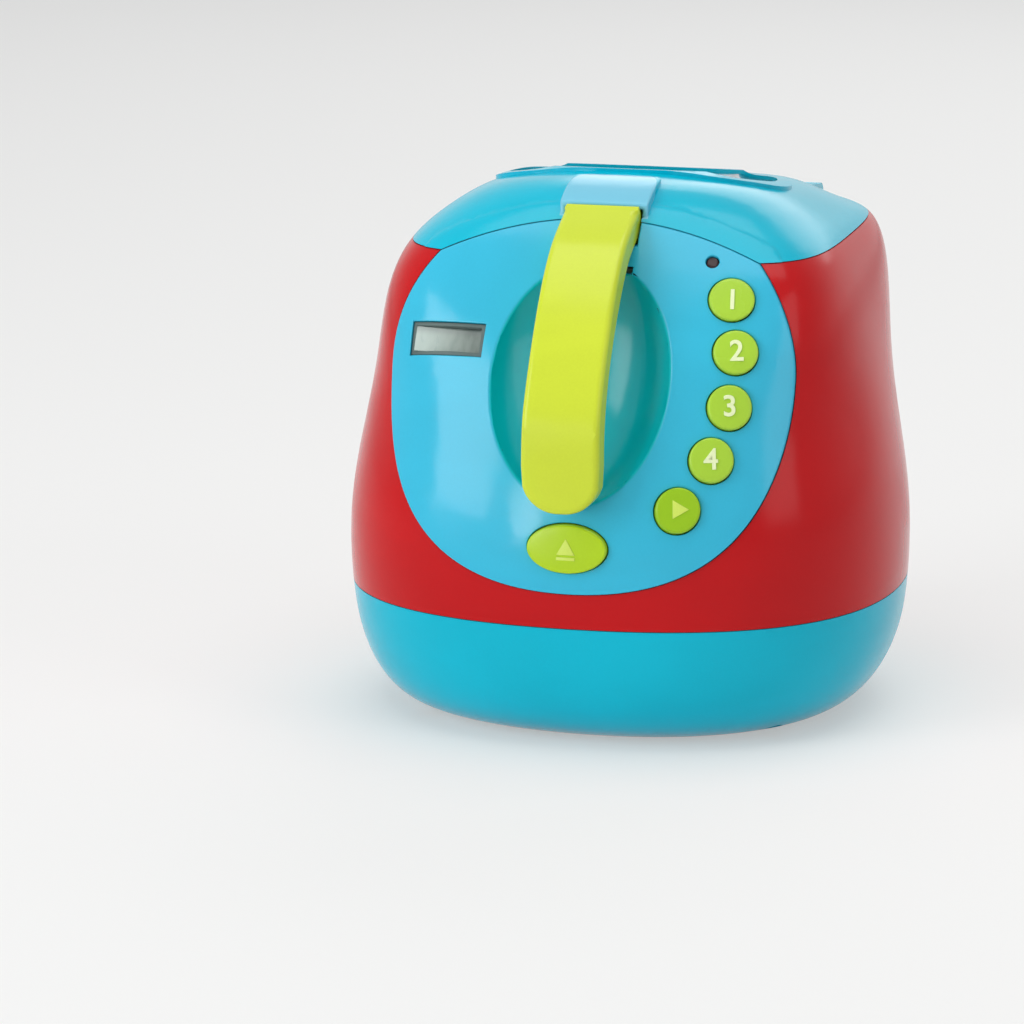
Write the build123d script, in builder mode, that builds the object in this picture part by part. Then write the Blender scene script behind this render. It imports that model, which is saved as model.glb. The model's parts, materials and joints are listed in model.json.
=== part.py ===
from build123d import *
from math import asin, atan, copysign, cos, degrees, radians, sin, sqrt, tan, tau
import os

os.makedirs("parts", exist_ok=True)

# Outer form of the moulded body
body_half_width = 97.5
front_reach = 88.15
back_reach = 94.85
seam_height = 45.0
rim_height = 166.0
lid_top_height = 189.5
shell_wall = 2.4
seam_gap = 0.3
cut_over = 40.0

# Each row: zone, share of the zone's height, share of the lid's rise lost at the back,
# shares of half width, front reach and back reach, and how square the corners are
form_shares = (
    ("base", 0.0, 0.0, 0.720, 0.689, 0.711, 2.3),
    ("base", 0.08, 0.0, 0.820, 0.792, 0.807, 2.3),
    ("base", 0.26, 0.0, 0.905, 0.896, 0.904, 2.3),
    ("base", 0.53, 0.0, 0.965, 0.959, 0.962, 2.3),
    ("base", 1.0, 0.0, 1.000, 1.000, 0.995, 2.35),
    ("body", 0.24, 0.0, 0.995, 1.000, 0.995, 2.45),
    ("body", 0.63, 0.0, 0.908, 0.858, 0.985, 2.8),
    ("body", 1.0, 0.0, 0.769, 0.552, 0.953, 4.6),
    ("lid", 0.43, 0.255, 0.680, 0.460, 0.910, 3.8),
    ("lid", 0.72, 0.362, 0.585, 0.367, 0.846, 3.4),
    ("lid", 0.915, 0.404, 0.460, 0.242, 0.739, 3.1),
    ("lid", 1.0, 0.404, 0.330, 0.076, 0.604, 2.8),
)

# Hinge
hinge_back = 95.3
hinge_height = 166.4
hinge_pin_radius = 1.5
hinge_radius = 4.5
body_knuckle_start = 30.0
knuckle_length = 10.0
lid_knuckle_length = 8.0
lid_web_rise = 6.6
lid_web_reach = 9.6
knuckle_gap = 0.4
hinge_pin_over = 0.6

# Front panel and its finger bowl
panel_proud = 0.8
panel_half_width = 71.0
panel_shoulder_half_width = 56.2
panel_bottom_height = 57.6
panel_belly_height = 128.0
panel_top_height = 178.3
panel_square = 2.45
panel_corner_across_share = 0.6
panel_corner_up_share = 0.82
panel_flange_width = 4.0
panel_flange_wall = 1.4
panel_flange_drop = 4.0
panel_screw_flange_share = 0.6
panel_screw_low_share = 0.521
panel_screw_radius = 1.1
panel_screw_bite = 1.8
panel_screw_head = 1.7
panel_screw_head_wall = 1.2
bowl_half_width = 32.0
bowl_half_height = 47.0
bowl_depth = 20.0
bowl_height = 129.0
bowl_lean = 25.0
bowl_wall = 2.2
slot_half_width = 13.5
slot_height = 2.4
slot_level = 163.0
handle_notch_height = 170.5
handle_notch_gap = 0.8

# Buttons
press_yaw = 22.0
press_lean = 22.0
button_travel = 1.5
button_radius = 7.6
button_proud = 1.8
button_gap = 0.35
button_flange = 1.3
button_flange_wall = 1.4
button_flange_depth = 6.6
button_stem_radius = 2.6
button_shares = ((0.69, 0.9), (0.735, 0.747), (0.727, 0.583), (0.662, 0.426), (0.521, 0.275))
open_travel = 3.0
open_half_width = 13.9
open_half_height = 8.3
open_height = 73.6
open_proud = 2.0
open_flange = 1.6
open_flange_wall = 1.6
open_flange_depth = 5.6
open_stem_radius = 3.2
open_bracket_place = 72.0
open_bracket_wall = 2.0
open_bracket_half_width = 16.4
open_bracket_half_height = 8.0
open_stem_gap = 0.5
open_spring_radius = 5.0
open_spring_wire = 0.7
open_spring_turns = 4

# Electronics behind the panel
board_drop = 13.0
board_wall = 1.6
board_margin = 2.0
board_screw_shares = ((-0.161, 0.403), (-0.034, -0.443))
board_screw_length = 6.0
chip_share = (-0.121, 0.107)
capacitor_share = (-0.148, -0.188)
keypad_wall = 1.0
dome_height = 2.4
dome_radius = 4.2
dome_gap = 0.2
dome_top_share = 0.65
keypad_margin = 1.5
chip_radius = 6.0
chip_height = 1.8
capacitor_radius = 2.5
capacitor_height = 7.0
board_screw_radius = 1.3
board_screw_head = 2.6
board_screw_head_wall = 1.6
board_post_radius = 3.2
display_share = (-0.696, 0.75)
display_turn = 8.6
display_width = 28.0
display_height = 11.8
display_depth = 3.6
display_frame_wall = 1.4
display_glass_wall = 1.6
indicator_share = (0.572, 1.007)
indicator_radius = 2.2
indicator_sink = 0.6
indicator_length = 5.0

# Latch between the open button and the lid
latch_wall = 2.5
latch_half_width = 6.0
latch_pivot_height = 118.0
latch_pivot_place = -38.9
latch_top_height = 161.5
latch_bar_height = 4.6
latch_bar_half_width = 27.0
latch_lip = 3.9
latch_lip_wall = 2.5
latch_foot_place = -63.5
latch_foot_height = 66.0
latch_route_shares = ((0.0, 0.115), (0.858, 0.577), (1.0, 0.731), (1.0, 1.0))
latch_pin_radius = 1.3
latch_eye_radius = 4.0
latch_ear_wall = 2.0
latch_ear_gap = 0.5
running_gap = 0.06
catch_offset = 23.0
catch_half_width = 3.4
catch_wall = 2.3
catch_nose = 2.0
catch_nose_height = 3.6
catch_nose_top = 157.0
catch_gap = 0.3
catch_tub_gap = 2.0

# Fry tub
tub_front = 26.65
tub_back = 66.0
tub_half_width = 60.0
tub_corner = 24.0
tray_corner_share = 0.5
tub_floor_height = 66.0
tub_draft = 3.0
tub_wall = 2.2
tub_flange_wall = 2.0
tub_rib_half_length = 24.0
tub_rib_wall = 3.0
tub_rib_offset = 22.0
ledge_width = 2.6
ledge_wall = 2.0
catch_slot_clear = 1.4
tub_front_flange = 41.0
tub_seat_gap = 0.3

# Basket
basket_front = 22.65
basket_back = 57.0
basket_half_width = 50.0
basket_corner = 22.0
basket_top_height = 157.0
basket_floor_height = 70.0
basket_draft = 7.0
basket_wall = 2.0
basket_rim = 2.6
basket_rim_wall = 2.4
cell_bar = 2.6
cell_rows = 5
cell_front_columns = 7
cell_side_columns = 6
cell_front_half_span = 36.0
cell_side_half_span = 31.0
cell_floor_half_span = 27.0
cell_floor_rows = 6
cell_lowest = 76.0
cell_highest = 152.0
tab_half_width = 11.0
tab_top_height = 172.0

# Handle of the basket
handle_half_width = 13.75
handle_top_half_width = 13.0
handle_thickness = 8.0
handle_wall = 2.2
handle_end_height = 87.5
handle_straight_height = 104.0
handle_end_corner = 9.0
handle_solid_height = 166.0
handle_root_start = 42.0
handle_front = hinge_back + hinge_radius
handle_root_height = 181.4
handle_root_wall = 5.6
handle_root_half_width = 12.4
handle_plate_wall = 2.2
handle_plate_bottom = 161.0
handle_start_front = 39.0
handle_start_height = 183.1
handle_route_shares = ((0.3207, 0.1125), (0.6184, 0.3236), (0.9309, 0.7092))
handle_screw_offset = 6.0
handle_screw_height = 166.5
handle_screw_radius = 1.3
handle_screw_head = 2.6
handle_screw_head_wall = 1.2

# Lid
hood_half_width = 15.6
hood_wall = 2.0
hood_corner = 5.0
hood_back = 14.0
hood_front = 37.6
hood_top_height = 189.6
hood_front_height = 183.7
hood_route_shares = ((0.0, 1.0), (0.508, 0.797), (1.0, 0.0))
hood_bottom = 178.6
hood_cavity_back = 19.0
hood_cavity_bottom = 170.0
window_middle = 20.0
window_half_width = 48.0
window_half_depth = 22.0
window_square = 2.5
window_ring = 5.0
window_proud = 1.2
window_wall = 1.8
window_gap = 0.2
window_ledge = 1.6
vent_count = 4
vent_width = 2.4
vent_half_length = 27.0
vent_wave = 1.5
vent_pitch = 5.6
vent_first = 54.0
vent_points = 16
vent_waves = 2.5
liner_wall = 1.8
liner_height = 168.0
liner_gap = 0.3
liner_front = 29.0
liner_notch_half_width = 16.0
liner_notch_back = 18.0
liner_window_grow = 1.0
liner_post_radius = 3.2
liner_post_front = 8.0
liner_post_front_across = 56.0
liner_post_back = 62.0
liner_post_back_across = 42.0
liner_screw_radius = 1.2
liner_screw_head = 2.6
liner_screw_head_wall = 1.2
liner_screw_length = 4.0
filter_half_width = 27.0
filter_front = 51.0
filter_back = 77.0
filter_wall = 1.2
filter_lap = 2.0
filter_slots = 7
filter_slot_width = 3.6
filter_slot_share = 0.8
filter_pad_wall = 3.0
filter_pad_gap = 0.4
band_grow = 5.6
band_proud = 0.45

# Base fittings
foot_proud = 0.8
foot_radius = 7.0
foot_wall = 2.0
foot_across = 40.0
foot_front = 36.0
foot_back = 43.0
lip_wall = 1.3
lip_height = 2.4
lip_depth = 4.0
boss_radius = 4.0
boss_across = 62.0
boss_front = 44.0
boss_back = 50.0
boss_rise = 16.0
case_screw_radius = 1.5
case_screw_head = 3.0
case_screw_head_wall = 2.0
case_screw_grip = 11.0
cell_battery_radius = 7.2
cell_battery_length = 50.0
cell_battery_cap = 2.7
cell_battery_cap_height = 1.0
battery_pitch = 14.8
battery_count = 3
battery_middle = 4.0
battery_end_space = 5.0
battery_box_wall = 1.8
battery_box_height = 19.5
battery_door_wall = 2.0
battery_door_gap = 0.25
battery_door_ledge = 1.8
door_screw_head = 2.6
door_screw_radius = 1.2
door_screw_length = 8.0
door_tongue = 9.0
contact_wall = 0.5
contact_plate_reach = 3.2
contact_half_width = 5.0
contact_spring_radius = 3.2
contact_spring_wire = 0.7
speaker_back = 48.5
speaker_radius = 16.0
speaker_height = 8.0
speaker_cone_rise = 2.0
speaker_ring_wall = 1.6
speaker_ring_height = 4.0
speaker_magnet_radius = 7.0
speaker_magnet_height = 5.0
speaker_hole_radius = 1.3
speaker_hole_ring = 8.0
speaker_hole_count = 8
coil_sides = 6


# Places on both sides of the middle, at one distance across
def mirrored(across, *along):
    return [(side * across, place) for place in along for side in (1, -1)]


foot_places = mirrored(foot_across, -foot_front, foot_back)
boss_places = mirrored(boss_across, -boss_front, boss_back)
liner_post_places = mirrored(liner_post_front_across, -liner_post_front)
liner_post_places += mirrored(liner_post_back_across, liner_post_back)
speaker_place = (0, speaker_back)


# Places straight in front of the panel, from shares of its half width and of its height up to the rim
def panel_place(across_share, rise_share):
    return panel_half_width * across_share, panel_bottom_height + (rim_height - panel_bottom_height) * rise_share


button_places = [panel_place(*shares) for shares in button_shares]
display_place = panel_place(*display_share)
indicator_place = panel_place(*indicator_share)
flange_middle = panel_flange_width * panel_screw_flange_share
panel_curve = (1 - panel_screw_low_share**panel_square) ** (1 / panel_square)
panel_low_height = panel_belly_height - (panel_belly_height - panel_bottom_height) * panel_curve
panel_screw_places = mirrored(panel_half_width + flange_middle, panel_belly_height)
panel_screw_places += mirrored(panel_half_width * panel_screw_low_share, panel_low_height - flange_middle)


# Point of a route from its shares of the way between two ends
def between(start, end, shares):
    return tuple(low + (high - low) * share for low, high, share in zip(start, end, shares))


latch_pivot = (latch_pivot_place, latch_pivot_height)
latch_foot = (latch_foot_place, latch_foot_height)
latch_route = [between(latch_pivot, latch_foot, shares) for shares in latch_route_shares]
handle_start = (-handle_start_front, handle_start_height)
handle_straight = (-handle_front, handle_straight_height)
handle_route = [between(handle_start, handle_straight, shares) for shares in handle_route_shares]
hood_ends = ((-hood_back, hood_front_height), (-hood_front, hood_top_height))
hood_route = [between(*hood_ends, shares) for shares in hood_route_shares]


# Closed outline of four smooth quarters, squarer as the square value grows
def quarter_lines(half_width, half_depth, middle, square):
    pull = (8 * 0.5 ** (1 / square) - 4) / 3
    for side, end in ((1, 1), (-1, 1), (-1, -1), (1, -1)):
        start_point = (side * half_width, middle)
        end_point = (0, middle + end * half_depth)
        start_pull = (side * half_width, middle + end * half_depth * pull)
        end_pull = (side * half_width * pull, middle + end * half_depth)
        Bezier(start_point, start_pull, end_pull, end_point)


# Form of the whole toy, shrunk inwards by an inset
def toy_form(inset):
    lid_rise = lid_top_height - rim_height
    with BuildPart() as form:
        for zone, rise_share, drop_share, wide_share, front_share, back_share, square in form_shares:
            if zone == "base":
                height = foot_proud + (seam_height - foot_proud) * rise_share + inset * (1 - rise_share)
            elif zone == "body":
                height = seam_height + (rim_height - seam_height) * rise_share
            else:
                height = rim_height + (lid_rise - inset) * rise_share
            half_width = body_half_width * wide_share - inset
            front = front_reach * front_share - inset
            back = back_reach * back_share - inset
            slope = lid_rise * drop_share / (front + back)
            level = Plane(origin=(0, 0, height - slope * front), x_dir=(1, 0, 0), z_dir=(0, slope, 1))
            with BuildSketch(level):
                with BuildLine():
                    quarter_lines(half_width, (front + back) / 2, (back - front) / 2, square)
                make_face()
        loft()
    return form.part


# Straight bar with the front panel's outline, running forward from the middle of the toy
def panel_bar(grow):
    pull = (8 * 0.5 ** (1 / panel_square) - 4) / 3
    half_width = panel_half_width + grow
    bottom = panel_bottom_height - grow
    half_height = panel_belly_height - bottom
    corner_across = panel_shoulder_half_width + grow * panel_corner_across_share
    corner_height = rim_height + grow * panel_corner_up_share
    with BuildPart() as bar:
        with BuildSketch(Plane.XZ):
            with BuildLine():
                for side in (-1, 1):
                    belly = (side * half_width, panel_belly_height)
                    shoulder = (side * corner_across, corner_height)
                    belly_pull = (side * half_width, panel_belly_height - half_height * pull)
                    bottom_pull = (side * half_width * pull, bottom)
                    Bezier(belly, belly_pull, bottom_pull, (0, bottom))
                    TangentArc(belly, shoulder, tangent=(0, 1))
                ThreePointArc(
                    (corner_across, corner_height),
                    (0, panel_top_height + grow),
                    (-corner_across, corner_height),
                )
            make_face()
        extrude(amount=front_reach + cut_over)
    return bar.part


# Slab over the whole toy between two heights
def slab(low, high):
    with BuildPart() as layer:
        with BuildSketch(Plane.XY.offset(low)):
            Rectangle(2 * (body_half_width + cut_over), 2 * (back_reach + cut_over))
        extrude(amount=high - low)
    return layer.part


# Upright box given by its low and high corners
def block(low, high):
    with BuildPart() as box:
        with BuildSketch(Plane.XY.offset(low[2])):
            with Locations(((low[0] + high[0]) / 2, (low[1] + high[1]) / 2)):
                Rectangle(high[0] - low[0], high[1] - low[1])
        extrude(amount=high[2] - low[2])
    return box.part


# Upright round post
def post(place, radius, low, high):
    with BuildPart() as rod:
        with BuildSketch(Plane.XY.offset(low)):
            with Locations(place):
                Circle(radius)
        extrude(amount=high - low)
    return rod.part


outer_form = toy_form(0)
inner_form = toy_form(shell_wall)
panel_form = toy_form(-panel_proud)
cap_form = toy_form(-panel_proud - button_proud)
open_form = toy_form(-panel_proud - open_proud)
half_form = toy_form(shell_wall / 2)
flange_form = toy_form(shell_wall + seam_gap / 2)
flange_back_form = toy_form(shell_wall + seam_gap / 2 + panel_flange_wall)
panel_prism = panel_bar(0)
panel_cutter = panel_bar(seam_gap)


# Point and outward normal of the panel's face, straight in front of a place
def face_point(across, height):
    ray = Axis((across, -front_reach - cut_over, height), (0, 1, 0))
    point, normal = panel_form.find_intersection_points(ray)[0]
    return point, normal


def save(builder, name):
    builder.part.label = name
    export_step(builder.part, f"parts/{name}.step")


# Direction in which the round buttons are pressed
press_out = Vector(
    sin(radians(press_yaw)) * cos(radians(press_lean)),
    -cos(radians(press_yaw)) * cos(radians(press_lean)),
    sin(radians(press_lean)),
)
press_across = Vector(cos(radians(press_yaw)), sin(radians(press_yaw)), 0)
button_seats = [face_point(across, height)[0] for across, height in button_places]
lowest_seat = min(seat.dot(press_out) for seat in button_seats)
board_level = lowest_seat - board_drop
dome_top_level = board_level + keypad_wall + dome_height


def press_plane(seat, level):
    origin = seat + press_out * (level - seat.dot(press_out))
    return Plane(origin=origin, x_dir=press_across, z_dir=press_out)


# Finger bowl behind the handle, an egg turned about a leaning axis
bowl_radius = (bowl_half_width**2 + bowl_depth**2) / (2 * bowl_depth)
bowl_back_off = bowl_radius - bowl_depth
bowl_length = bowl_half_height / sqrt(1 - (bowl_back_off / bowl_radius) ** 2)
bowl_up = Vector(0, sin(radians(bowl_lean)), cos(radians(bowl_lean)))
bowl_out = Vector(0, -cos(radians(bowl_lean)), sin(radians(bowl_lean)))
bowl_origin = face_point(0, bowl_height)[0] + bowl_out * bowl_back_off


def bowl_egg(grow):
    with BuildPart() as egg:
        with BuildSketch(Plane(origin=bowl_origin, x_dir=bowl_up, z_dir=(1, 0, 0))):
            with BuildLine():
                EllipticalCenterArc((0, 0), bowl_length + grow, bowl_radius + grow, 0, arc_size=180)
                Line((-bowl_length - grow, 0), (bowl_length + grow, 0))
            make_face()
        revolve(axis=Axis(bowl_origin, bowl_up))
    return egg.part


bowl_inside = bowl_egg(0)
bowl_outside = bowl_egg(bowl_wall)

# Base shell, a bowl with feet recesses, screw bosses, battery box and speaker holes
battery_half_length = cell_battery_length / 2 + battery_end_space
battery_half_depth = battery_pitch * battery_count / 2 + battery_door_gap
battery_low = battery_middle - battery_half_depth
battery_high = battery_middle + battery_half_depth
door_top = foot_proud + battery_door_wall
floor_top = foot_proud + shell_wall
box_grow = battery_box_wall
battery_box_outside = block(
    (-battery_half_length - box_grow, battery_low - box_grow, foot_proud + battery_door_gap),
    (battery_half_length + box_grow, battery_high + box_grow, foot_proud + battery_box_height),
)
battery_box_inside = block(
    (-battery_half_length, battery_low, -cut_over),
    (battery_half_length, battery_high, foot_proud + battery_box_height - box_grow),
)
door_recess = block(
    (-battery_half_length - battery_door_ledge / 2, battery_low - battery_door_ledge / 2, -cut_over),
    (battery_half_length + battery_door_ledge / 2, battery_high + battery_door_ledge / 2, door_top),
)
door_screw_place = (0.0, battery_low - door_tongue / 2)
lip_ring_outside = toy_form(shell_wall + seam_gap)
lip_ring_inside = toy_form(shell_wall + seam_gap + lip_wall)
with BuildPart() as base_shell:
    add(outer_form)
    add(inner_form, mode=Mode.SUBTRACT)
    add(slab(seam_height, lid_top_height + cut_over), mode=Mode.SUBTRACT)
    for place in boss_places:
        add(post(place, boss_radius, foot_proud, seam_height))
    add(battery_box_outside)
    add(post(door_screw_place, boss_radius, foot_proud, foot_proud + battery_box_height))
    with BuildSketch(Plane.XY.offset(floor_top)):
        with Locations(speaker_place):
            Circle(speaker_radius + speaker_ring_wall + seam_gap)
            Circle(speaker_radius + seam_gap, mode=Mode.SUBTRACT)
    extrude(amount=speaker_ring_height)
    add(outer_form, mode=Mode.INTERSECT)
    add(battery_box_inside, mode=Mode.SUBTRACT)
    add(door_recess, mode=Mode.SUBTRACT)
    tongue_half = door_tongue / 2 + battery_door_gap
    add(
        block((-tongue_half, battery_low - door_tongue, -cut_over), (tongue_half, battery_low, door_top)),
        mode=Mode.SUBTRACT,
    )
    with BuildSketch(Plane.XY.offset(foot_proud)):
        with Locations(door_screw_place):
            Circle(door_screw_radius)
    extrude(amount=door_screw_length + battery_door_wall, mode=Mode.SUBTRACT)
    for place in boss_places:
        add(post(place, case_screw_radius + seam_gap, -cut_over, seam_height + cut_over), mode=Mode.SUBTRACT)
        add(
            post(place, case_screw_head + seam_gap, -cut_over, seam_height - case_screw_grip),
            mode=Mode.SUBTRACT,
        )
    for place in foot_places:
        add(post(place, foot_radius + seam_gap / 2, -cut_over, foot_wall), mode=Mode.SUBTRACT)
    with BuildSketch(Plane.XY):
        with Locations(speaker_place):
            Circle(speaker_hole_radius)
            with PolarLocations(speaker_hole_ring / 2, speaker_hole_count // 2):
                Circle(speaker_hole_radius)
            with PolarLocations(speaker_hole_ring, speaker_hole_count):
                Circle(speaker_hole_radius)
    extrude(amount=floor_top, mode=Mode.SUBTRACT)
with BuildPart() as base_lip:
    add(lip_ring_outside)
    add(lip_ring_inside, mode=Mode.SUBTRACT)
    add(slab(seam_height - lip_depth, seam_height + lip_height), mode=Mode.INTERSECT)
with BuildPart() as base_lip_seat:
    add(half_form)
    add(lip_ring_inside, mode=Mode.SUBTRACT)
    add(slab(seam_height - lip_depth, seam_height - lip_height), mode=Mode.INTERSECT)
with BuildPart() as base_shell_lipped:
    add(base_shell.part)
    add(base_lip_seat.part)
    add(base_lip.part)
save(base_shell_lipped, "base_shell")

# Plane across a panel screw, a depth below the body's outer face
def panel_screw_plane(place, depth):
    ray = Axis((place[0], -front_reach - cut_over, place[1]), (0, 1, 0))
    point, normal = outer_form.find_intersection_points(ray)[0]
    return Plane(origin=point - normal * depth, z_dir=normal)


# Body shell, a tapering ring with the panel opening, a ledge for the tub and hinge knuckles
knuckle_starts = (body_knuckle_start, -body_knuckle_start - knuckle_length)
wall_at_hinge = back_reach * form_shares[7][5]
with BuildPart() as body_shell:
    add(outer_form)
    add(inner_form, mode=Mode.SUBTRACT)
    add(slab(seam_height + seam_gap, rim_height), mode=Mode.INTERSECT)
    add(panel_cutter, mode=Mode.SUBTRACT)
with BuildPart() as tub_ledge:
    add(half_form)
    add(toy_form(shell_wall + ledge_width), mode=Mode.SUBTRACT)
    ledge_top = rim_height - tub_flange_wall
    add(slab(ledge_top - ledge_wall, ledge_top), mode=Mode.INTERSECT)
    add(panel_bar(panel_flange_width + seam_gap), mode=Mode.SUBTRACT)
with BuildPart() as body_bosses:
    for place in boss_places:
        add(post(place, boss_radius, seam_height, seam_height + boss_rise))
        outward = copysign(cut_over, place[0])
        low_across = min(place[0], place[0] + outward)
        high_across = max(place[0], place[0] + outward)
        half_web = shell_wall / 2
        add(
            block(
                (low_across, place[1] - half_web, seam_height + lip_height + seam_gap),
                (high_across, place[1] + half_web, seam_height + boss_rise),
            )
        )
    add(half_form, mode=Mode.INTERSECT)
    for place in boss_places:
        add(post(place, case_screw_radius, 0, seam_height + boss_rise - shell_wall), mode=Mode.SUBTRACT)
with BuildPart() as body_knuckles:
    for start in knuckle_starts:
        with BuildSketch(Plane.YZ.offset(start)):
            with Locations((hinge_back, hinge_height)):
                Circle(hinge_radius)
            with BuildLine():
                Polyline(
                    (wall_at_hinge - shell_wall, hinge_height - 3 * hinge_radius),
                    (hinge_back + hinge_radius * cos(tau / 12), hinge_height - hinge_radius / 2),
                    (hinge_back, rim_height),
                    (wall_at_hinge - shell_wall, rim_height),
                    close=True,
                )
            make_face()
        extrude(amount=knuckle_length)
    add(inner_form, mode=Mode.SUBTRACT)
with BuildPart() as body_whole:
    add(body_shell.part)
    add(tub_ledge.part)
    add(body_bosses.part)
    add(body_knuckles.part)
    with BuildSketch(Plane.YZ):
        with Locations((hinge_back, hinge_height)):
            Circle(hinge_pin_radius)
    extrude(amount=body_half_width, both=True, mode=Mode.SUBTRACT)
    for place in panel_screw_places:
        with BuildSketch(panel_screw_plane(place, shell_wall - panel_screw_bite)):
            Circle(panel_screw_radius)
        extrude(amount=-shell_wall, mode=Mode.SUBTRACT)
save(body_whole, "body_shell")

# Hinge pin
hinge_half_length = body_knuckle_start + knuckle_length + knuckle_gap + lid_knuckle_length + hinge_pin_over
with BuildPart() as hinge_pin:
    with BuildSketch(Plane.YZ):
        with Locations((hinge_back, hinge_height)):
            Circle(hinge_pin_radius)
    extrude(amount=hinge_half_length, both=True)
save(hinge_pin, "hinge_pin")

# Front panel with its bowl, notch, slot and the openings for buttons and display
open_seat = face_point(0, open_height)[0]
open_plane = Plane(origin=open_seat, x_dir=(1, 0, 0), z_dir=(0, -1, 0))
display_point, display_normal = face_point(*display_place)
display_across = display_normal.cross(Vector(0, 0, -1))
display_level = Plane(origin=display_point, x_dir=display_across, z_dir=display_normal)
display_plane = display_level.rotated((0, 0, display_turn))
indicator_point, indicator_normal = face_point(*indicator_place)
indicator_plane = Plane(origin=indicator_point, z_dir=indicator_normal)
with BuildPart() as panel_flange:
    add(flange_form)
    add(panel_bar(panel_flange_width), mode=Mode.INTERSECT)
    add(flange_back_form, mode=Mode.SUBTRACT)
    add(panel_bar(-panel_flange_width), mode=Mode.SUBTRACT)
    add(slab(0, rim_height - panel_flange_drop), mode=Mode.INTERSECT)
with BuildPart() as panel_rib:
    add(half_form)
    add(panel_prism, mode=Mode.INTERSECT)
    add(flange_back_form, mode=Mode.SUBTRACT)
    add(panel_bar(-panel_flange_width), mode=Mode.SUBTRACT)
    add(slab(0, rim_height - panel_flange_drop), mode=Mode.INTERSECT)
with BuildPart() as bowl_shell:
    add(bowl_outside)
    add(panel_form, mode=Mode.INTERSECT)
    add(slab(0, panel_top_height), mode=Mode.INTERSECT)
ear_start = latch_half_width + latch_ear_gap
bowl_back = bowl_origin - bowl_out * (bowl_radius + bowl_wall / 2)
with BuildPart() as latch_ears:
    for start in (ear_start, -ear_start - latch_ear_wall):
        with BuildSketch(Plane.YZ.offset(start)):
            with Locations((latch_pivot_place, latch_pivot_height)):
                Circle(latch_eye_radius)
            with BuildLine():
                Polyline(
                    (bowl_back.Y - bowl_wall, latch_pivot_height + 2 * latch_eye_radius),
                    (latch_pivot_place, latch_pivot_height + latch_eye_radius),
                    (latch_pivot_place, latch_pivot_height - latch_eye_radius),
                    (bowl_back.Y - bowl_wall, latch_pivot_height - latch_eye_radius),
                    close=True,
                )
            make_face()
        extrude(amount=latch_ear_wall)
    add(bowl_inside, mode=Mode.SUBTRACT)
    with BuildSketch(Plane.YZ):
        with Locations((latch_pivot_place, latch_pivot_height)):
            Circle(latch_pin_radius)
    extrude(amount=body_half_width, both=True, mode=Mode.SUBTRACT)
with BuildPart() as open_bracket:
    bracket_low = open_height - open_bracket_half_height
    bracket_high = open_height + open_bracket_half_height
    bracket_reach = open_bracket_half_width + open_bracket_wall
    add(
        block(
            (-bracket_reach, -front_reach - cut_over, bracket_low),
            (bracket_reach, -open_bracket_place + open_bracket_wall, bracket_high),
        )
    )
    add(
        block(
            (-open_bracket_half_width, -front_reach - cut_over, bracket_low - cut_over),
            (open_bracket_half_width, -open_bracket_place, bracket_high + cut_over),
        ),
        mode=Mode.SUBTRACT,
    )
    add(half_form, mode=Mode.INTERSECT)
    with BuildSketch(Plane.XZ.offset(open_bracket_place - open_bracket_wall)):
        with Locations((0, open_height)):
            Circle(open_stem_radius + seam_gap)
    extrude(amount=open_bracket_wall, mode=Mode.SUBTRACT)
board_middle = sum((seat for seat in button_seats), Vector()) / len(button_seats)
board_plane = press_plane(board_middle, board_level)
board_spots = [board_plane.to_local_coords(seat) for seat in button_seats]
dome_places = [(spot.X, spot.Y) for spot in board_spots]
key_span = (button_seats[0] - button_seats[-1]).length
board_screw_places = [(key_span * across, key_span * along) for across, along in board_screw_shares]
chip_place = tuple(key_span * share for share in chip_share)
capacitor_place = tuple(key_span * share for share in capacitor_share)
with BuildPart() as board_posts:
    with BuildSketch(board_plane):
        with Locations(*board_screw_places):
            Circle(board_post_radius)
    extrude(amount=cut_over)
    add(panel_form, mode=Mode.INTERSECT)
    with BuildSketch(board_plane):
        with Locations(*board_screw_places):
            Circle(board_screw_radius)
    extrude(amount=board_drop / 2, mode=Mode.SUBTRACT)
with BuildPart() as front_panel:
    add(panel_form)
    add(panel_prism, mode=Mode.INTERSECT)
    add(inner_form, mode=Mode.SUBTRACT)
    add(bowl_shell.part)
    add(panel_rib.part)
    add(panel_flange.part)
    add(latch_ears.part)
    add(open_bracket.part)
    add(board_posts.part)
    add(bowl_inside, mode=Mode.SUBTRACT)
    notch_half_width = handle_top_half_width + handle_notch_gap
    add(
        block(
            (-notch_half_width, -front_reach, handle_notch_height),
            (notch_half_width, 0, lid_top_height),
        ),
        mode=Mode.SUBTRACT,
    )
    slot_low = slot_level - slot_height / 2
    slot_front = bowl_origin.Y
    add(
        block(
            (-slot_half_width, slot_front, slot_low),
            (slot_half_width, -tub_front - tub_wall, slot_low + slot_height),
        ),
        mode=Mode.SUBTRACT,
    )
    for seat in button_seats:
        with BuildSketch(press_plane(seat, dome_top_level)):
            Circle(button_radius + button_gap)
        extrude(amount=cut_over, mode=Mode.SUBTRACT)
    with BuildSketch(open_plane):
        Ellipse(open_half_width + button_gap, open_half_height + button_gap)
    extrude(amount=open_flange_depth, both=True, mode=Mode.SUBTRACT)
    with BuildSketch(display_plane):
        Rectangle(display_width, display_height)
    extrude(amount=2 * display_depth, both=True, mode=Mode.SUBTRACT)
    with BuildSketch(indicator_plane):
        Circle(indicator_radius + seam_gap / 2)
    extrude(amount=2 * shell_wall, both=True, mode=Mode.SUBTRACT)
    for place in panel_screw_places:
        with BuildSketch(panel_screw_plane(place, shell_wall - panel_screw_bite)):
            Circle(panel_screw_radius + running_gap)
        extrude(amount=-panel_screw_bite - 2 * panel_flange_wall, mode=Mode.SUBTRACT)
save(front_panel, "front_panel")

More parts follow.
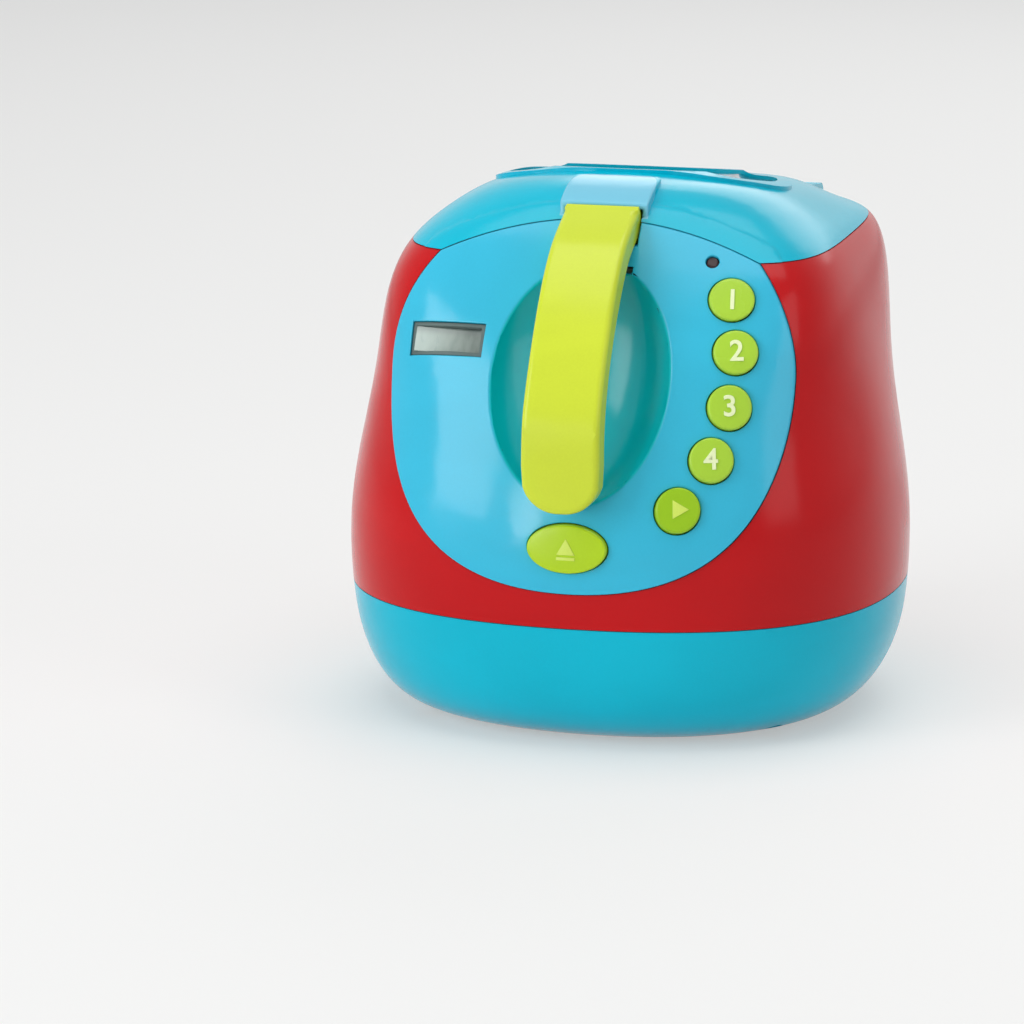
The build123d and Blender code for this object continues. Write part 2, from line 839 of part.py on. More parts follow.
# Screws that hold the front panel's flange against the body
with BuildPart() as panel_screws:
    for place in panel_screw_places:
        outside = panel_screw_plane(place, 0)
        inward = Axis(outside.origin, -outside.z_dir)
        seat = flange_back_form.find_intersection_points(inward)[0][0]
        head_depth = (outside.origin - seat).length + seam_gap
        with BuildSketch(outside.offset(-head_depth)):
            Circle(panel_screw_head)
        extrude(amount=-panel_screw_head_wall)
        with BuildSketch(outside.offset(-head_depth)):
            Circle(panel_screw_radius)
        extrude(amount=head_depth - shell_wall + panel_screw_bite)
save(panel_screws, "panel_screws")

# Round buttons, each with a flange behind the panel and a stem down to its dome
stem_end_level = dome_top_level + button_travel + dome_gap
button_names = ("program_button_1", "program_button_2", "program_button_3", "program_button_4", "start_button")
for seat, name in zip(button_seats, button_names):
    seat_level = seat.dot(press_out)
    with BuildPart() as button:
        with BuildSketch(press_plane(seat, seat_level - button_flange_depth)):
            Circle(button_radius)
        extrude(amount=cut_over)
        add(cap_form, mode=Mode.INTERSECT)
        with BuildSketch(press_plane(seat, seat_level - button_flange_depth)):
            Circle(button_radius + button_flange)
        extrude(amount=-button_flange_wall)
        with BuildSketch(press_plane(seat, stem_end_level)):
            Circle(button_stem_radius)
        extrude(amount=seat_level - button_flange_depth - stem_end_level)
    save(button, name)

# Open button, an oval cap with a flange and a stem that reaches the latch lever
open_stem_end = latch_wall / 2 + open_stem_gap - latch_route[-1][0]
flange_back_place = -open_seat.Y - open_flange_depth - open_flange_wall
with BuildPart() as open_button:
    with BuildSketch(open_plane.offset(-open_flange_depth)):
        Ellipse(open_half_width, open_half_height)
    extrude(amount=cut_over)
    add(open_form, mode=Mode.INTERSECT)
    with BuildSketch(open_plane.offset(-open_flange_depth)):
        Ellipse(open_half_width + open_flange, open_half_height + open_flange)
    extrude(amount=-open_flange_wall)
    with BuildSketch(Plane.XZ.offset(open_stem_end)):
        with Locations((0, open_height)):
            Circle(open_stem_radius)
    extrude(amount=flange_back_place - open_stem_end)
save(open_button, "open_button")

# Coil spring behind the open button, shown at its pressed length
spring_room = flange_back_place - open_travel - open_bracket_place
spring_rise = spring_room - 2 * open_spring_wire
with BuildPart() as open_spring:
    spring_start = Vector(0, -open_bracket_place - open_spring_wire, open_height)
    with BuildLine() as coil:
        Helix(
            pitch=spring_rise / open_spring_turns,
            height=spring_rise - open_spring_wire,
            radius=open_spring_radius,
            center=spring_start,
            direction=(0, -1, 0),
        )
    with BuildSketch(Plane(origin=coil.line @ 0, z_dir=coil.line % 0)):
        RegularPolygon(open_spring_wire / 2, coil_sides)
    sweep()
save(open_spring, "open_spring")

# Latch lever, a bent arm with a cross bar and two lips, turning on its pin
lever_half = latch_wall / 2
lever_line = ((latch_pivot_place, latch_top_height), *latch_route)
with BuildPart() as latch_lever:
    with BuildSketch(Plane.YZ):
        with BuildLine():
            Polyline(*lever_line)
        trace(line_width=latch_wall)
        with Locations((latch_pivot_place, latch_pivot_height)):
            Circle(latch_eye_radius - latch_ear_gap)
    extrude(amount=latch_half_width, both=True)
    bar_low = latch_top_height - latch_bar_height
    add(
        block(
            (-latch_bar_half_width, latch_pivot_place - lever_half, bar_low),
            (latch_bar_half_width, latch_pivot_place + lever_half, latch_top_height),
        )
    )
    lip_low = catch_nose_top + catch_gap
    for side in (-1, 1):
        add(
            block(
                (side * catch_offset - catch_half_width, latch_pivot_place, lip_low),
                (
                    side * catch_offset + catch_half_width,
                    latch_pivot_place + lever_half + latch_lip,
                    lip_low + latch_lip_wall,
                ),
            )
        )
    with BuildSketch(Plane.YZ):
        with Locations((latch_pivot_place, latch_pivot_height)):
            Circle(latch_pin_radius + running_gap)
    extrude(amount=body_half_width, both=True, mode=Mode.SUBTRACT)
save(latch_lever, "latch_lever")

# Pin of the latch lever
with BuildPart() as latch_pin:
    with BuildSketch(Plane.YZ):
        with Locations((latch_pivot_place, latch_pivot_height)):
            Circle(latch_pin_radius)
    extrude(amount=ear_start + latch_ear_wall + latch_ear_gap, both=True)
save(latch_pin, "latch_pin")

# Display module, a dark frame and the glass of the screen
frame_width = display_width - seam_gap
frame_height = display_height - seam_gap
with BuildPart() as display_frame:
    with BuildSketch(display_plane.offset(-seam_gap)):
        Rectangle(frame_width, frame_height)
        Rectangle(frame_width - 2 * display_frame_wall, frame_height - 2 * display_frame_wall, mode=Mode.SUBTRACT)
    extrude(amount=seam_gap - display_depth - display_glass_wall)
    add(outer_form, mode=Mode.INTERSECT)
save(display_frame, "display_frame")
with BuildPart() as display_screen:
    with BuildSketch(display_plane.offset(-display_depth)):
        Rectangle(frame_width - 2 * display_frame_wall, frame_height - 2 * display_frame_wall)
    extrude(amount=-display_glass_wall)
save(display_screen, "display_screen")

# Indicator lens above the buttons
with BuildPart() as indicator_lens:
    with BuildSketch(indicator_plane.offset(-indicator_sink)):
        Circle(indicator_radius)
    extrude(amount=-indicator_length)
save(indicator_lens, "indicator_lens")

# Control board with its keypad, parts and screws
with BuildPart() as control_board:
    with BuildSketch(board_plane):
        with Locations(*dome_places, *board_screw_places):
            Circle(dome_radius + board_margin)
        make_hull()
        with Locations(*board_screw_places):
            Circle(board_screw_radius, mode=Mode.SUBTRACT)
    extrude(amount=-board_wall)
save(control_board, "control_board")
with BuildPart() as keypad:
    with BuildSketch(board_plane):
        with Locations(*dome_places):
            Circle(dome_radius + board_margin - keypad_margin)
        make_hull()
        with Locations(*board_screw_places):
            Circle(board_post_radius + keypad_margin, mode=Mode.SUBTRACT)
    extrude(amount=keypad_wall)
    for place in dome_places:
        with BuildSketch(board_plane.offset(keypad_wall)):
            with Locations(place):
                Circle(dome_radius)
        with BuildSketch(board_plane.offset(keypad_wall + dome_height)):
            with Locations(place):
                Circle(dome_radius * dome_top_share)
        loft()
save(keypad, "keypad")
with BuildPart() as board_parts:
    with BuildSketch(board_plane.offset(-board_wall)):
        with Locations(chip_place):
            Circle(chip_radius)
    extrude(amount=-chip_height)
    with BuildSketch(board_plane.offset(-board_wall)):
        with Locations(capacitor_place):
            Circle(capacitor_radius)
    extrude(amount=-capacitor_height)
save(board_parts, "board_parts")
with BuildPart() as board_screws:
    with BuildSketch(board_plane.offset(-board_wall)):
        with Locations(*board_screw_places):
            Circle(board_screw_head)
    extrude(amount=-board_screw_head_wall)
    with BuildSketch(board_plane.offset(-board_wall)):
        with Locations(*board_screw_places):
            Circle(board_screw_radius)
    extrude(amount=board_screw_length)
save(board_screws, "board_screws")


# Tapered tray between two heights, measured at its rim
def tray(front, back, half_width, corner, low, high, rim, draft):
    with BuildPart() as body:
        for level in (low, high):
            shrink = (rim - level) * tan(radians(draft))
            with BuildSketch(Plane.XY.offset(level)):
                with Locations((0, (back - front) / 2)):
                    RectangleRounded(
                        2 * (half_width - shrink), back + front - 2 * shrink, corner - shrink * tray_corner_share
                    )
        loft()
    return body.part


# Fry tub with its rim flange, catch slots and floor ribs
tub_inside = tray(
    tub_front, tub_back, tub_half_width, tub_corner, tub_floor_height, rim_height, rim_height, tub_draft
)
tub_outside = tray(
    tub_front + tub_wall,
    tub_back + tub_wall,
    tub_half_width + tub_wall,
    tub_corner + tub_wall,
    tub_floor_height - tub_wall,
    rim_height,
    rim_height,
    tub_draft,
)
catch_back = tub_front + tub_wall + catch_tub_gap
catch_front = catch_back + catch_wall
with BuildPart() as fry_tub:
    add(toy_form(shell_wall + tub_seat_gap))
    add(slab(rim_height - tub_flange_wall, rim_height), mode=Mode.INTERSECT)
    add(
        block(
            (-body_half_width, -tub_front_flange, rim_height - cut_over),
            (body_half_width, back_reach, rim_height + cut_over),
        ),
        mode=Mode.INTERSECT,
    )
    add(tub_outside)
    add(tub_inside, mode=Mode.SUBTRACT)
    for side in (-1, 1):
        slot_reach = catch_half_width + catch_slot_clear
        add(
            block(
                (side * catch_offset - slot_reach, -catch_front - catch_nose - catch_slot_clear, catch_nose_top),
                (side * catch_offset + slot_reach, -catch_back + catch_slot_clear, rim_height + cut_over),
            ),
            mode=Mode.SUBTRACT,
        )
        add(
            block(
                (
                    side * tub_rib_offset - tub_rib_wall / 2,
                    (tub_back - tub_front) / 2 - tub_rib_half_length,
                    tub_floor_height - tub_wall / 2,
                ),
                (
                    side * tub_rib_offset + tub_rib_wall / 2,
                    (tub_back - tub_front) / 2 + tub_rib_half_length,
                    basket_floor_height,
                ),
            )
        )
save(fry_tub, "fry_tub")

# Basket, a tapered lattice with a rim and a tab for the handle
basket_outside = tray(
    basket_front,
    basket_back,
    basket_half_width,
    basket_corner,
    basket_floor_height,
    basket_top_height,
    basket_top_height,
    basket_draft,
)
basket_inside = tray(
    basket_front - basket_wall,
    basket_back - basket_wall,
    basket_half_width - basket_wall,
    basket_corner - basket_wall,
    basket_floor_height + basket_wall,
    basket_top_height,
    basket_top_height,
    basket_draft,
)
basket_middle = (basket_back - basket_front) / 2
cell_middle = (cell_highest + cell_lowest) / 2
row_pitch = (cell_highest - cell_lowest) / cell_rows
front_pitch = 2 * cell_front_half_span / cell_front_columns
side_pitch = 2 * cell_side_half_span / cell_side_columns
floor_pitch = 2 * cell_floor_half_span / cell_floor_rows
with BuildPart() as basket:
    add(basket_outside)
    add(basket_inside, mode=Mode.SUBTRACT)
    with BuildSketch(Plane.XZ.offset(-basket_middle)):
        with Locations((0, cell_middle)):
            with GridLocations(front_pitch, row_pitch, cell_front_columns, cell_rows):
                Rectangle(front_pitch - cell_bar, row_pitch - cell_bar)
    extrude(amount=basket_back + basket_front, both=True, mode=Mode.SUBTRACT)
    with BuildSketch(Plane.YZ):
        with Locations((basket_middle, cell_middle)):
            with GridLocations(side_pitch, row_pitch, cell_side_columns, cell_rows):
                Rectangle(side_pitch - cell_bar, row_pitch - cell_bar)
    extrude(amount=body_half_width, both=True, mode=Mode.SUBTRACT)
    with BuildSketch(Plane.XY.offset(basket_floor_height)):
        with Locations((0, basket_middle)):
            with GridLocations(floor_pitch, floor_pitch, cell_floor_rows, cell_floor_rows):
                Rectangle(floor_pitch - cell_bar, floor_pitch - cell_bar)
    extrude(amount=basket_wall, mode=Mode.SUBTRACT)
    with BuildSketch(Plane.XY.offset(basket_top_height)):
        with Locations((0, basket_middle)):
            RectangleRounded(
                2 * (basket_half_width + basket_rim),
                basket_back + basket_front + 2 * basket_rim,
                basket_corner + basket_rim,
            )
            RectangleRounded(
                2 * (basket_half_width - basket_wall),
                basket_back + basket_front - 2 * basket_wall,
                basket_corner - basket_wall,
                mode=Mode.SUBTRACT,
            )
    extrude(amount=-basket_rim_wall)
    add(
        block(
            (-tab_half_width, -basket_front, basket_top_height - basket_rim_wall),
            (tab_half_width, -basket_front + basket_wall, tab_top_height),
        )
    )
    with BuildSketch(Plane.XZ.offset(basket_front)):
        with Locations((0, handle_screw_height)):
            with GridLocations(2 * handle_screw_offset, 0, 2, 1):
                Circle(handle_screw_radius)
    extrude(amount=-basket_wall, mode=Mode.SUBTRACT)
save(basket, "basket")


# Route moved sideways by a distance
def parallel(points, distance):
    moved = []
    for index, point in enumerate(points):
        before = points[max(index - 1, 0)]
        after = points[min(index + 1, len(points) - 1)]
        run = Vector(after[0] - before[0], after[1] - before[1]).normalized()
        moved.append((point[0] - run.Y * distance, point[1] + run.X * distance))
    return moved


# Side outline of the handle between two depths below its outer face
def handle_side(near, far, end_height):
    route = (handle_start, *handle_route, handle_straight)
    near_points = parallel(route, near)[:-1] + [(-handle_front + near, handle_straight_height)]
    far_points = parallel(route, far)[:-1] + [(-handle_front + far, handle_straight_height)]
    start_run = Vector(route[1][0] - route[0][0], route[1][1] - route[0][1]).normalized()
    Spline(*near_points, tangents=((start_run.X, start_run.Y), (0, -1)))
    Line(near_points[-1], (-handle_front + near, end_height))
    Line((-handle_front + near, end_height), (-handle_front + far, end_height))
    Line((-handle_front + far, end_height), far_points[-1])
    Spline(*reversed(far_points), tangents=((0, 1), (-start_run.X, -start_run.Y)))
    Line(far_points[0], near_points[0])


# Bar with the handle's front outline, shrunk by an inset, with a rounded lower end
def handle_bar(inset):
    low = handle_end_height + inset
    with BuildPart() as bar:
        with BuildSketch(Plane.XZ) as view:
            Polygon(
                (-handle_half_width + inset, low),
                (handle_half_width - inset, low),
                (handle_top_half_width - inset, lid_top_height),
                (-handle_top_half_width + inset, lid_top_height),
                align=None,
            )
            fillet(view.vertices().group_by(Axis.Z)[0], handle_end_corner - inset)
        extrude(amount=handle_front + cut_over)
    return bar.part


# Handle, a curved channel open at its back, with a root that lies under the hood
with BuildPart() as basket_handle:
    with BuildSketch(Plane.YZ):
        with BuildLine():
            handle_side(0, handle_thickness, handle_end_height)
        make_face()
    extrude(amount=body_half_width, both=True)
    add(handle_bar(0), mode=Mode.INTERSECT)
with BuildPart() as handle_hollow:
    with BuildSketch(Plane.YZ):
        with BuildLine():
            handle_side(handle_wall, handle_thickness + handle_wall, handle_end_height + handle_wall)
        make_face()
    extrude(amount=body_half_width, both=True)
    add(handle_bar(handle_wall), mode=Mode.INTERSECT)
    add(slab(0, handle_solid_height), mode=Mode.INTERSECT)
root_low = handle_root_height - handle_root_wall
plate_front = basket_front + handle_plate_wall
with BuildPart() as handle_whole:
    add(basket_handle.part)
    add(handle_hollow.part, mode=Mode.SUBTRACT)
    add(
        block(
            (-handle_root_half_width, -handle_root_start, root_low),
            (handle_root_half_width, -basket_front, handle_root_height),
        )
    )
    add(
        block(
            (-handle_root_half_width, -plate_front, handle_plate_bottom),
            (handle_root_half_width, -basket_front, handle_root_height),
        )
    )
    with BuildSketch(Plane.XZ.offset(basket_front)):
        with Locations((0, handle_screw_height)):
            with GridLocations(2 * handle_screw_offset, 0, 2, 1):
                Circle(handle_screw_radius)
    extrude(amount=handle_plate_wall, mode=Mode.SUBTRACT)
save(handle_whole, "basket_handle")

# Screws between the handle and the basket's tab
with BuildPart() as handle_screws:
    with BuildSketch(Plane.XZ.offset(plate_front)):
        with Locations((0, handle_screw_height)):
            with GridLocations(2 * handle_screw_offset, 0, 2, 1):
                Circle(handle_screw_head)
    extrude(amount=handle_screw_head_wall)
    with BuildSketch(Plane.XZ.offset(plate_front)):
        with Locations((0, handle_screw_height)):
            with GridLocations(2 * handle_screw_offset, 0, 2, 1):
                Circle(handle_screw_radius)
    extrude(amount=-handle_plate_wall - basket_wall)
save(handle_screws, "handle_screws")

# Lid shell with its front band, hood, window ring, catches, posts and knuckles
with BuildPart() as lid_skin:
    add(outer_form)
    add(inner_form, mode=Mode.SUBTRACT)
    add(slab(rim_height + seam_gap, lid_top_height + cut_over), mode=Mode.INTERSECT)
with BuildPart() as lid_band:
    add(toy_form(-band_proud))
    add(panel_bar(band_grow), mode=Mode.INTERSECT)
    add(slab(rim_height + seam_gap, lid_top_height), mode=Mode.INTERSECT)
    add(half_form, mode=Mode.SUBTRACT)


# Upright oval bar through the lid's window, grown by an amount
def window_bar(grow):
    with BuildPart() as bar:
        with BuildSketch(Plane.XY.offset(rim_height)):
            with BuildLine():
                half_width = window_half_width + grow
                quarter_lines(half_width, window_half_depth + grow, window_middle, window_square)
            make_face()
        extrude(amount=lid_top_height - rim_height + cut_over)
    return bar.part


window_hole = window_bar(0)
with BuildPart() as window_frame:
    add(window_bar(window_ring))
    add(toy_form(-window_proud), mode=Mode.INTERSECT)
    add(half_form, mode=Mode.SUBTRACT)


# Hood over the handle's root, shrunk by an inset
def hood_body(inset, bottom):
    top = parallel(hood_route, inset)
    with BuildPart() as body:
        with BuildSketch(Plane.YZ):
            with BuildLine():
                roof = Spline(*top)
                Polyline(roof @ 1, (top[-1][0], bottom), (top[0][0], bottom), roof @ 0)
            make_face()
        extrude(amount=hood_half_width - inset, both=True)
    return body.part


with BuildPart() as hood_shell:
    add(hood_body(0, hood_bottom))
    fillet(hood_shell.edges().filter_by(Axis.Z).sort_by(Axis.Y)[-2:], hood_corner)
with BuildPart() as hood_cavity:
    add(hood_body(hood_wall, hood_cavity_bottom))
    add(
        block(
            (-hood_half_width + hood_wall, -front_reach, hood_cavity_bottom),
            (hood_half_width - hood_wall, hood_route[-1][0] + hood_wall, (hood_route[-1][1] - hood_wall)),
        )
    )
    add(
        block(
            (-hood_half_width, -hood_cavity_back, hood_cavity_bottom),
            (hood_half_width, 0, lid_top_height),
        ),
        mode=Mode.SUBTRACT,
    )
with BuildPart() as lid_catches:
    for side in (-1, 1):
        with BuildSketch(Plane.YZ.offset(side * catch_offset - catch_half_width)):
            with BuildLine():
                Polyline(
                    (-catch_back, lid_top_height),
                    (-catch_front, lid_top_height),
                    (-catch_front, catch_nose_top),
                    (-catch_front - catch_nose, catch_nose_top),
                    (-catch_front, catch_nose_top - catch_nose_height),
                    (-catch_back, catch_nose_top - catch_nose_height),
                    close=True,
                )
            make_face()
        extrude(amount=2 * catch_half_width)
    add(half_form, mode=Mode.INTERSECT)
liner_top = liner_height + liner_wall
with BuildPart() as lid_posts:
    for place in liner_post_places:
        add(post(place, liner_post_radius, liner_top, lid_top_height))
    add(half_form, mode=Mode.INTERSECT)
    for place in liner_post_places:
        add(post(place, liner_screw_radius, liner_height, liner_top + liner_screw_length), mode=Mode.SUBTRACT)
lid_knuckle_starts = (
    body_knuckle_start + knuckle_length + knuckle_gap,
    body_knuckle_start - knuckle_gap - lid_knuckle_length,
    -body_knuckle_start - knuckle_length - knuckle_gap - lid_knuckle_length,
    -body_knuckle_start + knuckle_gap,
)
with BuildPart() as lid_knuckles:
    for start in lid_knuckle_starts:
        with BuildSketch(Plane.YZ.offset(start)):
            with Locations((hinge_back, hinge_height)):
                Circle(hinge_radius)
            with BuildLine():
                Polyline(
                    (wall_at_hinge - lid_web_reach, rim_height + seam_gap),
                    (hinge_back, rim_height + seam_gap),
                    (hinge_back + hinge_radius / 2, hinge_height + hinge_radius * sin(tau / 6)),
                    (wall_at_hinge - lid_web_reach, rim_height + lid_web_rise),
                    close=True,
                )
            make_face()
        extrude(amount=lid_knuckle_length)
    add(inner_form, mode=Mode.SUBTRACT)


# Wavy slot across the lid
def wavy_slot(middle):
    wave = []
    for step in range(vent_points + 1):
        share = step / vent_points
        across = vent_half_length * (2 * share - 1)
        wave.append((across, middle + vent_wave * sin(tau * vent_waves * share)))
    far = [(across, along + vent_width) for across, along in wave]
    Spline(*wave)
    Line(wave[-1], far[-1])
    Spline(*reversed(far))
    Line(far[0], wave[0])


with BuildPart() as lid_shell:
    add(lid_skin.part)
    add(lid_band.part)
    add(window_frame.part)
    add(panel_cutter, mode=Mode.SUBTRACT)
    add(hood_shell.part)
    add(hood_cavity.part, mode=Mode.SUBTRACT)
    add(window_hole, mode=Mode.SUBTRACT)
    add(lid_catches.part)
    add(lid_posts.part)
    add(lid_knuckles.part)
    with BuildSketch(Plane.YZ):
        with Locations((hinge_back, hinge_height)):
            Circle(hinge_pin_radius + running_gap)
    extrude(amount=body_half_width, both=True, mode=Mode.SUBTRACT)
    for index in range(vent_count):
        with BuildSketch(Plane.XY.offset(liner_top)):
            with BuildLine():
                wavy_slot(vent_first + vent_pitch * index)
            make_face()
        extrude(amount=cut_over, mode=Mode.SUBTRACT)
save(lid_shell, "lid_shell")

# Clear window that follows the lid and laps under the edge of its opening
with BuildPart() as lens_top:
    add(window_bar(-window_gap))
    add(outer_form, mode=Mode.INTERSECT)
    add(toy_form(window_wall), mode=Mode.SUBTRACT)
with BuildPart() as lens_lap:
    add(window_bar(window_ledge))
    add(toy_form(shell_wall + running_gap), mode=Mode.INTERSECT)
    add(toy_form(shell_wall + window_wall), mode=Mode.SUBTRACT)
    add(window_bar(-window_ledge), mode=Mode.SUBTRACT)
with BuildPart() as lens_joint:
    add(window_bar(-window_gap))
    add(outer_form, mode=Mode.INTERSECT)
    add(toy_form(shell_wall + window_wall), mode=Mode.SUBTRACT)
    add(window_bar(-window_ledge), mode=Mode.SUBTRACT)
with BuildPart() as lid_window:
    add(lens_top.part)
    add(lens_joint.part)
    add(lens_lap.part)
save(lid_window, "lid_window")

# Liner plate inside the lid
filter_middle = (filter_front + filter_back) / 2
filter_depth = filter_back - filter_front
with BuildPart() as lid_liner:
    add(toy_form(shell_wall + liner_gap))
    add(slab(liner_height, liner_top), mode=Mode.INTERSECT)
    add(
        block(
            (-body_half_width, -liner_front, liner_height),
            (body_half_width, back_reach, liner_top),
        ),
        mode=Mode.INTERSECT,
    )
    add(
        block(
            (-liner_notch_half_width, -front_reach, liner_height),
            (liner_notch_half_width, -liner_notch_back, liner_top),
        ),
        mode=Mode.SUBTRACT,
    )
    with BuildSketch(Plane.XY.offset(liner_height)):
        with BuildLine():
            liner_half_width = window_half_width + liner_window_grow
            quarter_lines(liner_half_width, window_half_depth + liner_window_grow, window_middle, window_square)
        make_face()
        with Locations((0, filter_middle)):
            Rectangle(2 * (filter_half_width - filter_lap), filter_depth - 2 * filter_lap)
        with Locations(*liner_post_places):
            Circle(liner_screw_radius)
    extrude(amount=liner_wall, mode=Mode.SUBTRACT)
save(lid_liner, "lid_liner")

# Screws that hold the liner
with BuildPart() as liner_screws:
    for place in liner_post_places:
        add(post(place, liner_screw_head, liner_height - liner_screw_head_wall, liner_height))
        add(post(place, liner_screw_radius, liner_height, liner_top + liner_screw_length - running_gap))
save(liner_screws, "liner_screws")

# Ribbed filter cover under the liner and the filter pad above it
slot_pitch = 2 * filter_half_width * filter_slot_share / filter_slots
pad_half_width = filter_half_width - filter_lap - filter_pad_gap
with BuildPart() as filter_cover:
    with BuildSketch(Plane.XY.offset(liner_height)):
        with Locations((0, filter_middle)):
            RectangleRounded(2 * filter_half_width, filter_depth, filter_lap)
            with GridLocations(slot_pitch, 0, filter_slots, 1):
                Rectangle(filter_slot_width, filter_depth * filter_slot_share, mode=Mode.SUBTRACT)
    extrude(amount=-filter_wall)
save(filter_cover, "filter_cover")
with BuildPart() as filter_pad:
    with BuildSketch(Plane.XY.offset(liner_height)):
        with Locations((0, filter_middle)):
            Rectangle(2 * pad_half_width, filter_depth - 2 * (filter_lap + filter_pad_gap))
    extrude(amount=filter_pad_wall)
save(filter_pad, "filter_pad")

# Rubber feet
with BuildPart() as feet:
    for place in foot_places:
        add(post(place, foot_radius, 0, foot_wall))
save(feet, "feet")

# Screws from the base up into the body's bosses
case_head_top = seam_height - case_screw_grip
case_screw_top = seam_height + boss_rise - shell_wall - seam_gap
with BuildPart() as case_screws:
    for place in boss_places:
        add(post(place, case_screw_head, case_head_top - case_screw_head_wall, case_head_top))
        add(post(place, case_screw_radius, case_head_top, case_screw_top))
save(case_screws, "case_screws")

# Batteries in a row, lying across the base
battery_height = door_top + cell_battery_radius + running_gap
battery_rows = [battery_middle + battery_pitch * (index - (battery_count - 1) / 2) for index in range(battery_count)]
with BuildPart() as batteries:
    for index, row in enumerate(battery_rows):
        side = 1 if index % 2 else -1
        body_end = cell_battery_length / 2
        with BuildSketch(Plane.YZ.offset(-body_end)):
            with Locations((row, battery_height)):
                Circle(cell_battery_radius)
        extrude(amount=2 * body_end)
        with BuildSketch(Plane.YZ.offset(side * body_end)):
            with Locations((row, battery_height)):
                Circle(cell_battery_cap)
        extrude(amount=side * cell_battery_cap_height)
save(batteries, "batteries")

# Contacts, a flat plate at each cap and a plate with a spring at each flat end
with BuildPart() as battery_contacts:
    for index, row in enumerate(battery_rows):
        side = 1 if index % 2 else -1
        for end in (-1, 1):
            wall_face = end * battery_half_length
            reach = contact_plate_reach if end == side else 0
            low = min(wall_face, wall_face - end * (contact_wall + reach))
            high = max(wall_face, wall_face - end * (contact_wall + reach))
            add(
                block(
                    (low, row - contact_half_width, battery_height - contact_half_width),
                    (high, row + contact_half_width, battery_height + contact_half_width),
                )
            )
            if end != side:
                spring_length = battery_end_space - contact_wall
                with BuildSketch(Plane.YZ.offset(wall_face - end * contact_wall)):
                    with Locations((row, battery_height)):
                        Circle(contact_spring_radius)
                        Circle(contact_spring_radius - contact_spring_wire, mode=Mode.SUBTRACT)
                with BuildSketch(Plane.YZ.offset(wall_face - end * (contact_wall + spring_length))):
                    with Locations((row, battery_height)):
                        Circle(contact_spring_radius - contact_spring_wire)
                        Circle(contact_spring_radius - 2 * contact_spring_wire, mode=Mode.SUBTRACT)
                loft()
save(battery_contacts, "battery_contacts")

# Battery door with its tongue, and the screw that holds it
door_half_length = battery_half_length + battery_door_ledge / 2 - battery_door_gap
door_low = battery_low - battery_door_ledge / 2 + battery_door_gap
door_high = battery_high + battery_door_ledge / 2 - battery_door_gap
with BuildPart() as battery_door:
    add(block((-door_half_length, door_low, foot_proud), (door_half_length, door_high, door_top)))
    add(
        block(
            (-door_tongue / 2, battery_low - door_tongue + battery_door_gap, foot_proud),
            (door_tongue / 2, battery_low, door_top),
        )
    )
    add(post(door_screw_place, door_screw_radius, 0, door_top), mode=Mode.SUBTRACT)
    add(post(door_screw_place, door_screw_head, 0, foot_proud + battery_door_wall / 2), mode=Mode.SUBTRACT)
save(battery_door, "battery_door")
door_screw_seat = foot_proud + battery_door_wall / 2
with BuildPart() as battery_door_screw:
    add(post(door_screw_place, door_screw_head - seam_gap / 2, foot_proud, door_screw_seat))
    add(post(door_screw_place, door_screw_radius, door_screw_seat, foot_proud + door_screw_length))
save(battery_door_screw, "battery_door_screw")

# Speaker, a shallow cone in a round frame with its magnet
with BuildPart() as speaker:
    with BuildSketch(Plane.XZ.offset(-speaker_back)):
        with BuildLine():
            Polyline(
                (0, floor_top + speaker_cone_rise),
                (speaker_magnet_radius, floor_top + speaker_cone_rise),
                (speaker_radius - speaker_ring_wall, floor_top + running_gap),
                (speaker_radius, floor_top),
                (speaker_radius, floor_top + speaker_ring_wall),
                (speaker_magnet_radius + speaker_ring_wall, floor_top + speaker_height - speaker_magnet_height),
                (speaker_magnet_radius + speaker_ring_wall, floor_top + speaker_height),
                (0, floor_top + speaker_height),
                close=True,
            )
        make_face()
    revolve(axis=Axis((*speaker_place, 0), (0, 0, 1)))
save(speaker, "speaker")
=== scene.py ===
import json
import math

import bmesh
import bpy
from bpy.props import FloatProperty, FloatVectorProperty, PointerProperty
from mathutils import Matrix, Vector


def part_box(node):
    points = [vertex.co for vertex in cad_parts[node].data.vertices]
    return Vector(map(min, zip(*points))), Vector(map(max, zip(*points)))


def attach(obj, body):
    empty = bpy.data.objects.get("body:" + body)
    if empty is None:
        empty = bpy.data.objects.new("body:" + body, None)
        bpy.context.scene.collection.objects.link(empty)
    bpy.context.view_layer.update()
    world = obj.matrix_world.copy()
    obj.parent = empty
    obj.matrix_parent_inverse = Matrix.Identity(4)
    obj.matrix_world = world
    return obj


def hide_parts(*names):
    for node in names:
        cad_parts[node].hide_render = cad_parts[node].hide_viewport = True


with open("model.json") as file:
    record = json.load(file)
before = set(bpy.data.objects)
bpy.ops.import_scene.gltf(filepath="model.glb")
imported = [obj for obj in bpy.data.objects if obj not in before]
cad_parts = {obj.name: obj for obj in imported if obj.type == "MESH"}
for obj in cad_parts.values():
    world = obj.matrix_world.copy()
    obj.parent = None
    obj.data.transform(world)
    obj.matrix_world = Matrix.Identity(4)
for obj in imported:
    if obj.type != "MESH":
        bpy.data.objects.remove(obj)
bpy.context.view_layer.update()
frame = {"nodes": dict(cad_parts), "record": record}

bl_info = {
    "name": "Toy Air Fryer Finish",
    "version": (1, 0, 0),
    "blender": (4, 5, 0),
    "location": "3D View > Sidebar > Fryer",
    "description": "Dresses the packed toy air fryer and sets its stage",
    "category": "Object",
}

BODY_OF = {node: body for body, nodes in frame["record"]["behaviour"]["bodies"].items() for node in nodes}

MM = 0.001

# Points nearer than this are one point
WELD = 0.002 * MM
# Facets that turn less than this, in degrees, shade as one surface
CREASE = 38
# How far from a key's middle a straight look at its face starts
AWAY = 0.05
